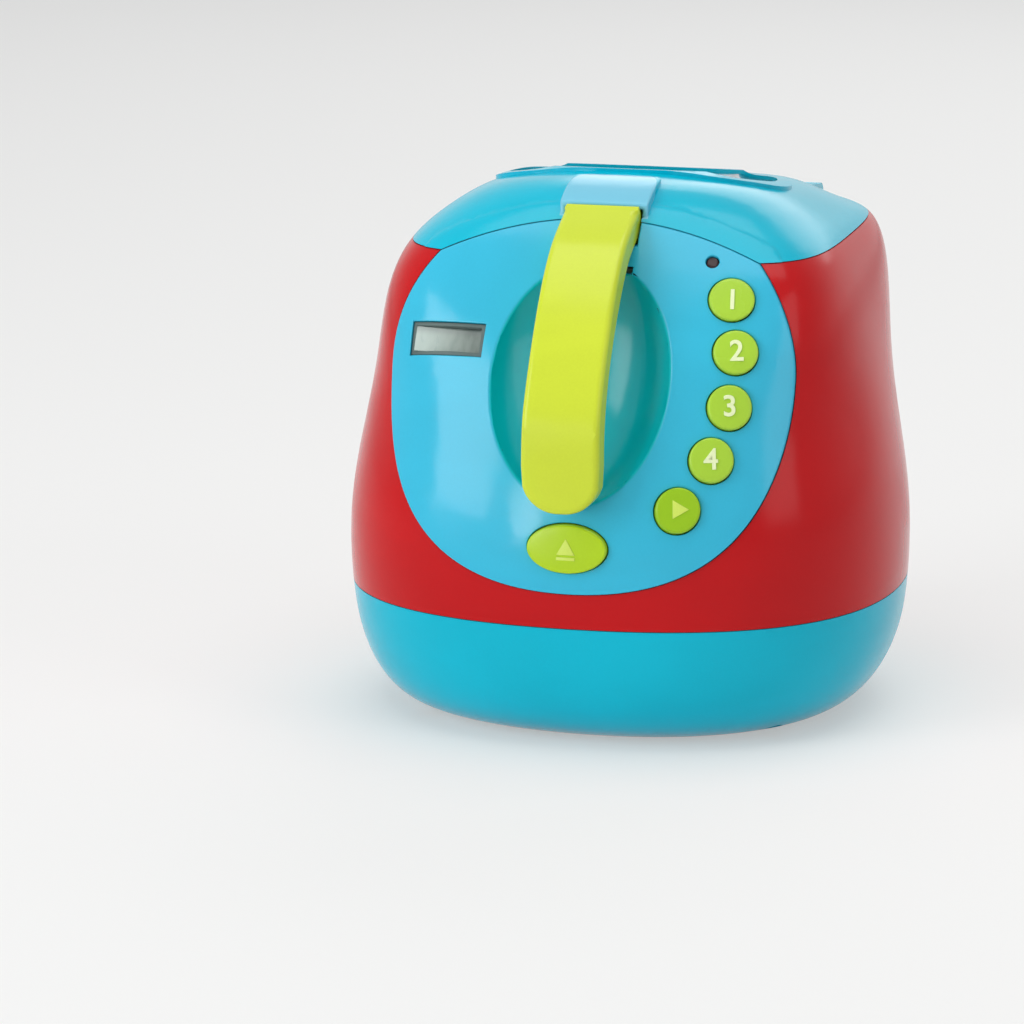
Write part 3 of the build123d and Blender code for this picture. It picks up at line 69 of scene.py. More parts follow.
# How the round keys look to the side and up, as the front panel carries them
KEY_YAW = math.radians(22)
KEY_LEAN = math.radians(22)
# How the circuit board's pattern is turned to lie square to the board
BOARD_TURN = (-0.384, 0, -0.384)
# A bar of a screw's cross: its length, width and height as shares of the head's radius
RECESS = (1.2, 0.26, 0.7)

# The camera's place, the way it looks and its lens, as they follow from the toy's edges in the photograph
CAMERA_PLACE = (0.448, -1.8327, 0.502)
CAMERA_TURN = math.radians(15)
CAMERA_TILT = math.radians(13)
CAMERA_ROLL = math.radians(0.2)
CAMERA_LENS = 192
FILM_WIDTH = 36
# Each lamp's name, place, width and height in metres, and power in watts. All of them face LIT_SPOT
LAMPS = (
    ("window_lamp", (-1.35, -1.35, 0.75), (0.9, 1.3), 18),
    ("pane_lamp", (-0.62, -1.55, 0.2), (0.22, 0.62), 4),
    ("top_lamp", (0.1, -0.15, 1.9), (1.8, 1.5), 21),
    ("side_lamp", (1.7, -0.7, 0.8), (0.8, 1.4), 6),
    ("back_lamp", (0.2, 1.7, 1.1), (1.6, 1.0), 8),
)
LIT_SPOT = (0, 0, 0.1)
# Colour and strength of the background as it lights the toy, and as it is seen
SKY_LIGHT = ((0.93, 0.96, 1.0, 1), 0.3)
SKY_SEEN = ((0.87, 0.87, 0.86, 1), 1.0)
# The rays that meet the background itself, and not the light that it casts
SEEN_RAYS = ("Is Camera Ray", "Is Glossy Ray", "Is Transmission Ray")
# What the floor sheet gives off towards those rays, and its share in what they see
SHEET_GLOW = (0.93, 0.93, 0.92, 1)
GLOW_SHARE = 0.45

# Fineness of the patterns in the finishes, as features along a metre
SHEET_CLOUD = 1.4
PIGMENT_FLOW = 11
PIGMENT_DRIFT = 16
HAND_RUBS = 22
DULL_CLOUD = 38
HAZE = 60
DUST = 70
STAIN = 90
CLEAR_RIPPLE = 120
CREASES = 180
PADS = 210
SKIN = 240
TRACKS = 260
SHEET_GRAIN = 260
COAT_RIPPLE = 300
COAT_CLOUD = 400
DRAWN_LINES = 420
FIBRES = 900
SPECKS = 1300
RUBBER_GRAIN = 1500
MOULD_GRAIN = 1700
# The stretch of a noise over which a soft pattern fades
SOFT = (0.3, 0.7)


# A screen colour, 0 to 255, as the linear colour that materials take
def linear(*levels):
    return tuple(((level / 255 + 0.055) / 1.055) ** 2.4 if level > 10 else level / 3295 for level in levels)


# The same, with the full alpha that a material's colour socket wants
def solid(*levels):
    return (*linear(*levels), 1)


# A colour made darker or lighter by an amount
def shade(colour, amount):
    return (*(min(1.0, part * amount) for part in colour[:3]), 1.0)


# A size that the add-on's panel lists, given in millimetres
def length(name, description, size):
    return FloatProperty(name=name, description=description, default=size * MM, unit="LENGTH")


# A colour that the add-on's panel lists
def tint(name, description, levels):
    return FloatVectorProperty(name=name, description=description, default=levels, subtype="COLOR", min=0, max=1)


class FRYER_PG_sizes(bpy.types.PropertyGroup):
    """Sizes of the rounded edges and of the marks on the keys"""

    handle_edge: length("Handle edge", "Rounding along the handle's edges", 2.0)
    handle_round: length("Handle end", "Rounding of the handle's lower end", 12.4)
    hood_edge: length("Hood edge", "Rounding round the hood of the lid", 0.7)
    key_edge: length("Key edge", "Rounding round the rim of each key", 0.75)
    panel_edge: length("Panel edge", "Rounding round the front panel", 0.45)
    bowl_edge: length("Bowl edge", "Rounding round the rim of the finger bowl", 0.9)
    shell_edge: length("Shell edge", "Rounding along the seams of the shells", 0.3)
    lens_edge: length("Lens edge", "Rounding round the indicator lamp", 0.6)
    mark_height: length("Mark height", "Height of the number on a round key", 7.4)
    mark_rise: length("Mark rise", "How far a mark stands up from its key", 0.28)
    screw_edge: length("Screw edge", "Rounding round the head of each screw", 0.25)
    pin_edge: length("Pin edge", "Rounding round the ends of each pin", 0.3)
    foot_edge: length("Foot edge", "Rounding round each rubber foot", 0.5)


class FRYER_PG_colours(bpy.types.PropertyGroup):
    """Colours of the pieces that the photograph shows, and of the floor"""

    shell: tint("Shell", "Base and lid", linear(0, 178, 203))
    panel: tint("Panel", "Front panel", linear(50, 178, 210))
    # The bowl colour is painted shade: a darker, greener teal for the recess's shade and the green light that the
    # handle casts into it
    bowl: tint("Bowl", "Inside of the finger bowl", linear(0, 186, 200))
    # The hood colour is a painted reflection: a pale blue standing for the overhead lamp's reflection on the
    # hood's top
    hood: tint("Hood", "Cover over the handle's root", linear(116, 192, 216))
    body: tint("Body", "Middle ring of the housing", linear(187, 8, 15))
    handle: tint("Handle", "Handle of the basket", linear(198, 213, 52))
    keys: tint("Keys", "Round program keys", linear(164, 203, 58))
    open_key: tint("Open key", "Oval open key", linear(172, 205, 28))
    start_key: tint("Start key", "Round start key", linear(148, 191, 26))
    marks: tint("Marks", "Marks on the keys", linear(226, 236, 186))
    raised_marks: tint("Raised marks", "Marks on the start and open keys", linear(204, 224, 96))
    tub: tint("Tub", "Fry tub and lid liner", linear(92, 92, 106))
    basket: tint("Basket", "Lattice basket", linear(150, 153, 162))
    floor: tint("Floor", "Floor round the toy", (0.83, 0.825, 0.815))


class Value:
    """A value inside a material, so that sums on it are written as sums."""

    def __init__(self, finish, socket):
        self.finish = finish
        self.socket = socket

    def maths(self, operation, first, second):
        return self.finish.node("ShaderNodeMath", {"operation": operation}, {0: first, 1: second})

    def __add__(self, other):
        return self.maths("ADD", self, other)

    def __sub__(self, other):
        return self.maths("SUBTRACT", self, other)

    def __rsub__(self, other):
        return self.maths("SUBTRACT", other, self)

    def __mul__(self, other):
        return self.maths("MULTIPLY", self, other)

    def __truediv__(self, other):
        return self.maths("DIVIDE", self, other)

    def __pow__(self, other):
        return self.maths("POWER", self, other)

    def __mod__(self, other):
        return self.maths("FLOORED_MODULO", self, other)

    __radd__ = __add__
    __rmul__ = __mul__


class Finish:
    """One material, and the calls that build its nodes."""

    def __init__(self, name, **fixed):
        self.material = bpy.data.materials.new(name)
        self.material.use_nodes = True
        self.tree = self.material.node_tree
        self.shader = self.tree.nodes["Principled BSDF"]
        self.place = self.node("ShaderNodeTexCoord", output="Object")
        for socket, value in fixed.items():
            self.set(socket.replace("_", " "), value)

    def node(self, kind, settings=None, sockets=None, output=0):
        """One node of a kind, with its settings, its sockets' values or links, and the output that is wanted."""
        made = self.tree.nodes.new(kind)
        for key, value in (settings or {}).items():
            setattr(made, key, value)
        for key, value in (sockets or {}).items():
            if isinstance(value, Value):
                self.tree.links.new(value.socket, made.inputs[key])
            else:
                made.inputs[key].default_value = value
        return Value(self, made.outputs[output])

    def set(self, socket, value):
        """Give the shader's socket a plain value, or link it to one."""
        if isinstance(value, Value):
            self.tree.links.new(value.socket, self.shader.inputs[socket])
        else:
            self.shader.inputs[socket].default_value = value

    def mapped(self, centre=(0, 0, 0), turn=(0, 0, 0), stretch=(1, 1, 1)):
        """Object coordinates measured from a centre, in a turned and stretched frame."""
        moved = self.node(
            "ShaderNodeVectorMath", {"operation": "SUBTRACT"}, {0: self.place, 1: centre}, output="Vector"
        )
        return self.node("ShaderNodeMapping", None, {"Vector": moved, "Rotation": turn, "Scale": stretch})

    def axes(self, vector=None):
        """The three parts of a vector, or of the Object coordinates."""
        parts = self.node("ShaderNodeSeparateXYZ", None, {0: vector or self.place})
        return [Value(self, output) for output in parts.socket.node.outputs]

    def noise(self, scale, detail=2.0, vector=None, distortion=0.0):
        """Cloudy noise from 0 to 1, where scale is its fineness and detail the number of finer layers in it."""
        sockets = {"Vector": vector or self.place, "Scale": scale, "Detail": detail, "Distortion": distortion}
        return self.node("ShaderNodeTexNoise", None, sockets)

    def fade(self, value, low, high):
        """0 below low, 1 above high, and a smooth rise between them."""
        sockets = {"Value": value, "From Min": low, "From Max": high}
        return self.node("ShaderNodeMapRange", {"interpolation_type": "SMOOTHSTEP"}, sockets)

    def mix(self, share, first, second):
        """The first colour where share is 0, and the second where it is 1."""
        return self.node("ShaderNodeMix", {"data_type": "RGBA"}, {0: share, 6: first, 7: second}, output=2)

    def larger(self, first, second):
        """The larger of two values."""
        return self.node("ShaderNodeMath", {"operation": "MAXIMUM"}, {0: first, 1: second})

    def magnitude(self, value):
        """A value without its sign."""
        return self.node("ShaderNodeMath", {"operation": "ABSOLUTE"}, {0: value})

    def rubbed(self):
        """Soft patches where hands have dulled the gloss."""
        return self.fade(self.noise(HAND_RUBS, 4, self.mapped(stretch=(1, 1, 1.6))), 0.45, 0.72)

    def bump(self, height, depth):
        """Shade as if the surface rose by height, in units of depth."""
        self.set("Normal", self.node("ShaderNodeBump", None, {"Height": height, "Distance": depth}, "Normal"))


# Moulded plastic: drifting pigment, fine specks, faintly dulled patches and a slight orange-peel skin.
# Gloss is its plain roughness, and grain the strength of a spark-eroded mould's texture.
def moulded(name, colour, gloss=0.16, grain=0.0, **fixed):
    finish = Finish(name, **{"Specular_IOR_Level": 0.28, **fixed})
    flow = finish.noise(PIGMENT_FLOW, 3, finish.mapped(stretch=(1, 1, 2.2)), distortion=0.7)
    tone = finish.fade(0.8 * flow + 0.2 * finish.noise(SPECKS, 1), *SOFT)
    finish.base = finish.mix(tone, shade(colour, 0.95), shade(colour, 1.04))
    finish.set("Base Color", finish.base)
    dulled = 0.05 * finish.noise(DULL_CLOUD, 4) + 0.08 * finish.rubbed()
    finish.set("Roughness", gloss + dulled + 0.3 * grain * finish.noise(MOULD_GRAIN, 2))
    finish.bump(0.35 * finish.noise(SKIN, 2) + grain * finish.noise(MOULD_GRAIN, 2), 0.03 * MM)
    return finish


# Front panel: the bowl behind the handle is painted a darker, greener teal than the face round it, as painted
# shade of the recess with painted green bounce light from the handle
def panel_finish(colours, egg):
    finish = moulded("panel_plastic", colours.panel, gloss=0.13)
    # The egg's mask marks the bowl, where the painted shade goes
    across, back, up = finish.axes(finish.mapped(centre=egg.origin, turn=(egg.lean, 0, 0)))
    inside = (across / egg.radius) ** 2 + (back / egg.radius) ** 2 + (up / egg.length) ** 2
    bowl = 1 - finish.fade(inside, *egg.rim)
    # Painted shade and bounce light: the bowl's darker, greener teal, with a little pigment drift in it
    drift = finish.fade(finish.noise(PIGMENT_DRIFT, 3), *SOFT)
    bowl_painted_shade = finish.mix(drift, shade(colours.bowl, 0.95), shade(colours.bowl, 1.03))
    finish.set("Base Color", finish.mix(bowl, finish.base, bowl_painted_shade))
    return finish


# Lid: the hood over the handle's root is painted paler than the dome round it, as a painted reflection of the
# overhead lamp on its top
def lid_finish(colours, hood):
    finish = moulded("lid_plastic", colours.shell, gloss=0.15, Specular_IOR_Level=0.22)
    # Mask of the hood's top, where the painted reflection goes
    across, back, up = finish.axes(finish.mapped(centre=hood.corner))
    out = finish.larger(finish.magnitude(across) - hood.straight, 0)
    behind = finish.larger(back, 0) * (hood.radius / hood.rounding)
    beyond = (out * out + behind * behind) ** 0.5
    within = 1 - finish.fade(beyond, hood.radius - 0.1 * MM, hood.radius + 0.15 * MM)
    above = finish.fade(up, -0.3 * MM, 0.1 * MM)
    painted_reflection_patch = within * above * finish.fade(back, -hood.reach - 0.6 * MM, -hood.reach)
    # Painted reflection: the pale blue that stands for the overhead lamp's reflection, with a little pigment drift
    # in it
    drift = finish.fade(finish.noise(PIGMENT_DRIFT, 3), *SOFT)
    pale = finish.mix(drift, shade(colours.hood, 0.97), shade(colours.hood, 1.03))
    finish.set("Base Color", finish.mix(painted_reflection_patch, finish.base, pale))
    return finish


# Plated steel with fine drawing marks
def steel_finish(name, colour=(0.6, 0.6, 0.62), rough=0.26):
    finish = Finish(name, Metallic=1.0)
    marks = finish.noise(DRAWN_LINES, 4, finish.mapped(stretch=(0.12, 3, 3)))
    stain = finish.fade(finish.noise(STAIN, 3), 0.35, 0.7)
    finish.set("Base Color", finish.mix(stain, shade(colour, 0.86), shade(colour, 1.05)))
    finish.set("Roughness", rough + 0.2 * marks + 0.08 * stain)
    finish.bump(marks, 0.02 * MM)
    return finish


# Soft matt rubber with dust in its grain
def rubber_finish(name, colour):
    finish = Finish(name, Specular_IOR_Level=0.3)
    grain = finish.noise(RUBBER_GRAIN, 3)
    dust = finish.fade(finish.noise(DUST, 4), 0.45, 0.75)
    finish.set("Base Color", finish.mix(0.35 * dust, shade(colour, 0.95), shade(colour, 1.8)))
    finish.set("Roughness", 0.62 + 0.25 * grain)
    finish.bump(grain + 0.4 * dust, 0.05 * MM)
    return finish


# Screen film: grey green, with painted light that makes it paler to the left, a painted shadow below its frame's
# top, and upright streaks that roughen and bump it, whose paler colour is a painted reflection
def screen_finish(name, centre):
    finish = Finish(name, Coat_Weight=0.7, Coat_Roughness=0.06)
    across, _, up = finish.axes(finish.mapped(centre=centre))
    # Painted light: the film is drawn paler to the left, where the lamps' light falls, and darker to the right
    painted_light_falloff = finish.fade(across, -9 * MM, 12 * MM)
    # Painted shadow: the mask below the frame's top edge, where that edge's shadow falls on the film
    top = finish.fade(up, 1.2 * MM, 4.6 * MM)
    strokes = finish.noise(STAIN, 2, finish.mapped(stretch=(4, 4, 0.3)))
    film = finish.mix(painted_light_falloff, solid(138, 158, 150), solid(80, 98, 90))
    # Painted reflection: the paler colour of the upright streaks
    film = finish.mix(0.22 * finish.fade(strokes, 0.35, 0.7), film, solid(170, 184, 174))
    # Painted shadow: the film darkens below the frame's top edge
    film = finish.mix(0.5 * top, film, solid(58, 72, 74))
    finish.set("Base Color", film)
    finish.set("Roughness", 0.22 + 0.15 * strokes)
    finish.bump(strokes, 0.01 * MM)
    return finish


# Tinted clear plastic
def clear_finish(name, colour):
    finish = Finish(name, Transmission_Weight=0.92, IOR=1.46)
    haze = finish.noise(HAZE, 4)
    finish.set("Base Color", finish.mix(finish.fade(haze, *SOFT), shade(colour, 0.97), shade(colour, 1.0)))
    finish.set("Roughness", 0.05 + 0.06 * haze + 0.1 * finish.rubbed())
    finish.bump(finish.noise(CLEAR_RIPPLE, 2), 0.02 * MM)
    return finish


# Felt of crossed fibres
def felt_finish(name):
    finish = Finish(name, Specular_IOR_Level=0.15, Sheen_Weight=0.4)
    first, second = (
        finish.fade(finish.noise(FIBRES, 4, finish.mapped(turn=(0, 0, turn), stretch=(0.25, 1.6, 1))), 0.4, 0.65)
        for turn in (0.6, -0.9)
    )
    fibres = first * 0.5 + second * 0.5
    finish.set("Base Color", finish.mix(fibres, solid(186, 190, 192), solid(226, 228, 228)))
    finish.set("Roughness", 0.85 + 0.1 * fibres)
    finish.bump(fibres, 0.2 * MM)
    return finish


# Circuit board: green coating over faint tracks, with tinned pads
def board_finish(name):
    finish = Finish(name)
    grid = finish.mapped(turn=BOARD_TURN)
    bare, track = (0, 0, 0, 1), (1, 1, 1, 1)
    tracks = finish.node(
        "ShaderNodeTexBrick",
        None,
        {"Vector": grid, "Scale": TRACKS, "Mortar Size": 0.03, "Color1": bare, "Color2": bare, "Mortar": track},
        output="Color",
    )
    pads = finish.node("ShaderNodeTexVoronoi", None, {"Vector": grid, "Scale": PADS}, output="Distance")
    pad = 1 - finish.fade(pads, 0.16, 0.2)
    coat = finish.mix(tracks, solid(16, 92, 48), solid(42, 128, 66))
    finish.set("Base Color", finish.mix(pad, coat, solid(196, 198, 196)))
    finish.set("Roughness", 0.34 - 0.06 * pad + 0.1 * finish.noise(COAT_CLOUD, 2))
    finish.bump(pad + 0.3 * finish.noise(COAT_RIPPLE, 2), 0.03 * MM)
    return finish


# Battery sleeve: a dark film with a pale band at each end, and bare metal beyond them
def battery_finish(name, half_length):
    finish = Finish(name)
    along, _, _ = finish.axes()
    reach = (along * along) ** 0.5
    band_start, metal_start = 13 * MM, half_length - 0.9 * MM
    metal = finish.fade(reach, metal_start, half_length - 0.7 * MM)
    band = finish.fade(reach, band_start, band_start + 0.3 * MM)
    creases = finish.noise(CREASES, 3, finish.mapped(stretch=(3, 0.3, 0.3)))
    sleeve = finish.mix(band, solid(52, 56, 66), solid(196, 204, 210))
    sleeve = finish.mix(0.2 * creases, sleeve, solid(120, 124, 130))
    finish.set("Base Color", finish.mix(metal, sleeve, solid(200, 200, 198)))
    finish.set("Metallic", metal)
    finish.set("Roughness", 0.24 + 0.16 * creases)
    finish.bump(creases, 0.03 * MM)
    return finish


# Speaker: a paper cone ringed with fine ribs, and a bare steel magnet behind it
def speaker_finish(name, centre):
    finish = Finish(name)
    across, along, up = finish.axes(finish.mapped(centre=centre))
    out = (across * across + along * along) ** 0.5
    rib_spacing = 1.6 * MM
    ribs = finish.fade((out % rib_spacing) / MM, 0.2, 1.4)
    fibres = finish.noise(FIBRES, 4)
    magnet = finish.fade(up, 2.2 * MM, 2.4 * MM)
    paper = finish.mix(fibres, solid(26, 26, 28), solid(66, 66, 70))
    finish.set("Base Color", finish.mix(magnet, paper, solid(150, 150, 152)))
    finish.set("Metallic", magnet)
    finish.set("Roughness", 0.8 - 0.45 * magnet)
    finish.bump(ribs + 0.3 * fibres, 0.12 * MM)
    return finish


# Floor: a pale sheet with the slightest cloud in it, lifted a little towards the background's brightness
def floor_finish(name, colour):
    finish = Finish(name, Specular_IOR_Level=0.2)
    cloud = finish.fade(finish.noise(SHEET_CLOUD, 3), *SOFT)
    finish.set("Base Color", finish.mix(cloud, shade(colour, 0.985), shade(colour, 1.0)))
    finish.set("Roughness", 0.62 + 0.1 * cloud)
    finish.bump(finish.noise(SHEET_GRAIN, 2), 0.02 * MM)
    rays = finish.node("ShaderNodeLightPath").socket.node.outputs
    camera, glossy, clear = (Value(finish, rays[ray]) for ray in SEEN_RAYS)
    seen = finish.larger(camera, finish.larger(glossy, clear))
    glow = finish.node("ShaderNodeEmission", None, {"Color": SHEET_GLOW, "Strength": 1.0})
    lit = Value(finish, finish.shader.outputs[0])
    sheet = finish.node("ShaderNodeMixShader", None, {0: GLOW_SHARE * seen, 1: lit, 2: glow})
    finish.tree.links.new(sheet.socket, finish.tree.nodes["Material Output"].inputs["Surface"])
    return finish


class Spot:
    """A place on the toy: its centre, and the way that its face looks."""

    def __init__(self, centre, normal):
        self.centre = Vector(centre)
        self.normal = Vector(normal).normalized()

    def matrix(self, up=(0, 0, 1)):
        """The matrix whose Z runs along the normal and whose Y points as far up as it can."""
        across = Vector(up).cross(self.normal).normalized()
        rise = self.normal.cross(across)
        return Matrix.Translation(self.centre) @ Matrix((across, rise, self.normal)).transposed().to_4x4()


class Egg:
    """The hollow that the finger bowl is cut with, turned about a leaning axis."""

    lean = math.radians(25)
    radius = 35.6 * MM
    length = 52.29 * MM
    origin = (0, -86.9 * MM, 135.6 * MM)
    # Where the bowl's painted shade gives way to the panel's colour: 1 is the egg's own surface
    rim = (1.012, 1.035)


class Hood:
    """The cover over the handle's root: the form of the patch painted pale as a painted reflection, and where the
    raised edge lies.
    """

    # Straight sides, with corners at the back that are radius wide and rounding deep, measured from corner
    radius = 7 * MM
    rounding = 15 * MM
    straight = 8.6 * MM
    reach = 8.9 * MM
    corner = (0, -29 * MM, 178.9 * MM)
    # The edge's half width, its front and back, and its lowest point
    beside = 15.9 * MM
    front, back = -38.5 * MM, -13.4 * MM
    low = 179.6 * MM


# Centre of a node's box
def middle(node):
    low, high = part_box(node)
    return (low + high) / 2


# Centre of a mesh edge
def halfway(line):
    return (line.verts[0].co + line.verts[1].co) / 2


def deselect():
    if bpy.context.object and bpy.context.object.mode != "OBJECT":
        bpy.ops.object.mode_set(mode="OBJECT")
    bpy.ops.object.select_all(action="DESELECT")


# Makes a piece the one that is selected and active
def only(piece):
    deselect()
    piece.select_set(True)
    bpy.context.view_layer.objects.active = piece


def dress(piece, finish):
    piece.data.materials.clear()
    piece.data.materials.append(finish.material)


# A node whose shape is right keeps it, and takes the finish
def carry(node, finish):
    dress(frame["nodes"][node], finish)


# Hands a finished piece to its body, its material slot and, where it stands for it, its solid
def seat(piece, node, finish, stands_for=True):
    dress(piece, finish)
    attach(piece, BODY_OF[node])
    if stands_for:
        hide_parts(node)


# A node's solid as one welded mesh, shaded smooth, with the edges that turn sharply rounded off
def welded(node, name, edge=0.0, chosen=None):
    piece = bpy.data.objects.new(name, frame["nodes"][node].data.copy())
    bpy.context.collection.objects.link(piece)
    only(piece)
    bpy.ops.object.mode_set(mode="EDIT")
    bpy.ops.mesh.select_all(action="SELECT")
    bpy.ops.mesh.remove_doubles(threshold=WELD)
    bpy.ops.mesh.customdata_custom_splitnormals_clear()
    bpy.ops.object.mode_set(mode="OBJECT")
    return rounded(piece, edge, chosen=chosen)


# Rounds the edges that turn sharply, or the chosen ones of them, and evens the shading
def rounded(piece, edge, sharp=CREASE, segments=3, chosen=None):
    only(piece)
    if edge:
        bpy.ops.object.mode_set(mode="EDIT")
        bpy.ops.mesh.select_all(action="DESELECT")
        shell = bmesh.from_edit_mesh(piece.data)
        for line in shell.edges:
            turns = line.is_manifold and math.degrees(line.calc_face_angle(0)) >= sharp
            if turns and (not chosen or chosen(line)):
                line.select_set(True)
        bmesh.update_edit_mesh(piece.data)
        bpy.ops.mesh.bevel(offset=edge, offset_type="OFFSET", segments=segments, profile=0.5, clamp_overlap=False)
        bpy.ops.object.mode_set(mode="OBJECT")
    bpy.ops.object.shade_smooth_by_angle(angle=math.radians(sharp))
    evened = piece.modifiers.new("evened", "WEIGHTED_NORMAL")
    evened.keep_sharp = True
    bpy.ops.object.modifier_apply(modifier=evened.name)
    return piece


# Stands a piece that was made at the origin on a spot, square to its face
def stood(piece, spot):
    only(piece)
    piece.matrix_world = spot.matrix() @ piece.matrix_world
    bpy.ops.object.transform_apply(location=True, rotation=True, scale=True)
    return piece


# Joins pieces into the first of them
def joined(pieces, name):
    deselect()
    for piece in pieces:
        piece.select_set(True)
    bpy.context.view_layer.objects.active = pieces[0]
    bpy.ops.object.join()
    pieces[0].name = name
    return pieces[0]


# Where a straight look at a piece meets its surface
def surface_spot(piece, start, direction):
    found, place, normal, _ = piece.ray_cast(Vector(start), Vector(direction))
    if not found:
        raise RuntimeError(f"nothing of {piece.name} lies along the look")
    return Spot(place, normal)


# Lowest and highest corner of each loose part of a piece
def part_boxes(piece):
    shell = bmesh.new()
    shell.from_mesh(piece.data)
    met, boxes = set(), []
    for first in shell.verts:
        if first.index in met:
            continue
        met.add(first.index)
        part = [first]
        for vert in part:
            for line in vert.link_edges:
                other = line.other_vert(vert)
                if other.index not in met:
                    met.add(other.index)
                    part.append(other)
        spans = [sorted(vert.co[axis] for vert in part) for axis in range(3)]
        boxes.append((Vector([span[0] for span in spans]), Vector([span[-1] for span in spans])))
    shell.free()
    return boxes


# Screws of a node, with rounded heads and a cross cut into each, facing outwards
def crossed(node, outward, sizes):
    piece = welded(node, f"crossed_{node}", edge=sizes.screw_edge)
    bars = []
    for low, high in part_boxes(piece):
        half = (high - low) / 2
        top = Spot((low + high) / 2 + Vector(outward) * abs(half.dot(Vector(outward))), outward)
        for turn in (0, math.pi / 2):
            bpy.ops.mesh.primitive_cube_add(size=1)
            bar = bpy.context.object
            reach = Matrix.Diagonal((*(share * half.x for share in RECESS), 1))
            bar.matrix_world = top.matrix((1, 0, 0)) @ Matrix.Rotation(turn, 4, "Z") @ reach
            bars.append(bar)
    cutter = joined(bars, "recess")
    only(piece)
    cut = piece.modifiers.new("recess", "BOOLEAN")
    cut.object, cut.operation, cut.solver, cut.use_self = cutter, "DIFFERENCE", "EXACT", True
    bpy.ops.object.modifier_apply(modifier=cut.name)
    bpy.data.objects.remove(cutter)
    return piece


class FRYER_OT_stage(bpy.types.Operator):
    """Make the camera, the soft lamps, the world and the pale floor"""

    bl_idname = "fryer.stage"
    bl_label = "Stage"

    def execute(self, context):
        self.set_camera(context)
        self.set_lamps(context)
        self.set_world(context)
        self.lay_floor(context)
        context.scene.view_settings.view_transform = "Standard"
        return {"FINISHED"}

    def set_camera(self, context):
        turn, tilt = CAMERA_TURN, CAMERA_TILT
        ahead = Vector((-math.sin(turn) * math.cos(tilt), math.cos(turn) * math.cos(tilt), -math.sin(tilt)))
        camera = bpy.data.objects.new("camera", bpy.data.cameras.new("camera"))
        context.collection.objects.link(camera)
        camera.location = CAMERA_PLACE
        camera.rotation_mode = "QUATERNION"
        roll = Matrix.Rotation(CAMERA_ROLL, 3, ahead).to_quaternion()
        camera.rotation_quaternion = roll @ ahead.to_track_quat("-Z", "Y")
        camera.data.sensor_width = FILM_WIDTH
        camera.data.lens = CAMERA_LENS
        camera.data.clip_start = 0.05
        context.scene.camera = camera

    def set_lamps(self, context):
        for name, place, (width, height), power in LAMPS:
            light = bpy.data.lights.new(name, "AREA")
            light.shape = "RECTANGLE"
            light.size, light.size_y = width, height
            light.energy = power
            lamp = bpy.data.objects.new(name, light)
            context.collection.objects.link(lamp)
            lamp.location = place
            lamp.rotation_mode = "QUATERNION"
            lamp.rotation_quaternion = (Vector(LIT_SPOT) - lamp.location).to_track_quat("-Z", "Y")

    def set_world(self, context):
        """One background that lights the toy, and a paler one for the rays that meet it."""
        world = context.scene.world or bpy.data.worlds.new("world")
        context.scene.world = world
        world.use_nodes = True
        nodes, links = world.node_tree.nodes, world.node_tree.links
        light, seen = nodes["Background"], nodes.new("ShaderNodeBackground")
        for sky, (colour, strength) in ((light, SKY_LIGHT), (seen, SKY_SEEN)):
            sky.inputs["Color"].default_value = colour
            sky.inputs["Strength"].default_value = strength
        path = nodes.new("ShaderNodeLightPath")
        met = path.outputs[SEEN_RAYS[0]]
        for ray in SEEN_RAYS[1:]:
            either = nodes.new("ShaderNodeMath")
            either.operation = "MAXIMUM"
            links.new(met, either.inputs[0])
            links.new(path.outputs[ray], either.inputs[1])
            met = either.outputs[0]
        blend = nodes.new("ShaderNodeMixShader")
        links.new(met, blend.inputs[0])
        links.new(light.outputs[0], blend.inputs[1])
        links.new(seen.outputs[0], blend.inputs[2])
        links.new(blend.outputs[0], nodes["World Output"].inputs["Surface"])

    def lay_floor(self, context):
        deselect()
        bpy.ops.mesh.primitive_plane_add(size=14, location=(0, 2, 0))
        floor = context.object
        floor.name = "floor"
        bpy.ops.object.transform_apply(location=True)
        dress(floor, floor_finish("floor_sheet", context.scene.fryer_colours.floor))


class FRYER_OT_housing(bpy.types.Operator):
    """Finish the base, the red ring and the battery door"""

    bl_idname = "fryer.housing"
    bl_label = "Housing"

    def execute(self, context):
        sizes, colours = context.scene.fryer_sizes, context.scene.fryer_colours
        blue = moulded("base_plastic", colours.shell, Specular_IOR_Level=0.18)
        red = moulded("ring_plastic", colours.body, gloss=0.14, Specular_IOR_Level=0.2)
        carry("base_shell", blue)
        carry("body_shell", red)
        seat(welded("battery_door", "battery_cover", edge=sizes.shell_edge), "battery_door", blue)
        return {"FINISHED"}


class FRYER_OT_front(bpy.types.Operator):
    """Finish the front panel with its finger bowl"""

    bl_idname = "fryer.front"
    bl_label = "Front panel"

    def execute(self, context):
        sizes, colours = context.scene.fryer_sizes, context.scene.fryer_colours
        panel = welded("front_panel", "panel_face", sizes.panel_edge, chosen=self.on_face)
        rounded(panel, sizes.bowl_edge, sharp=20, segments=4, chosen=self.on_bowl)
        seat(panel, "front_panel", panel_finish(colours, Egg))
        return {"FINISHED"}

    def on_face(self, line):
        """An edge of the outer face, away from the bowl."""
        forward = -0.35
        return min(face.normal.y for face in line.link_faces) < forward and not self.on_bowl(line)

    def on_bowl(self, line):
        """An outer edge where the bowl meets the face, so that it lies on the egg's own surface."""
        near = 0.01
        centre = halfway(line) - Vector(Egg.origin)
        _, back, up = Matrix.Rotation(Egg.lean, 3, "X") @ centre
        inside = (centre.x**2 + back**2) / Egg.radius**2 + (up / Egg.length) ** 2
        return abs(inside - 1) < near and line.is_convex


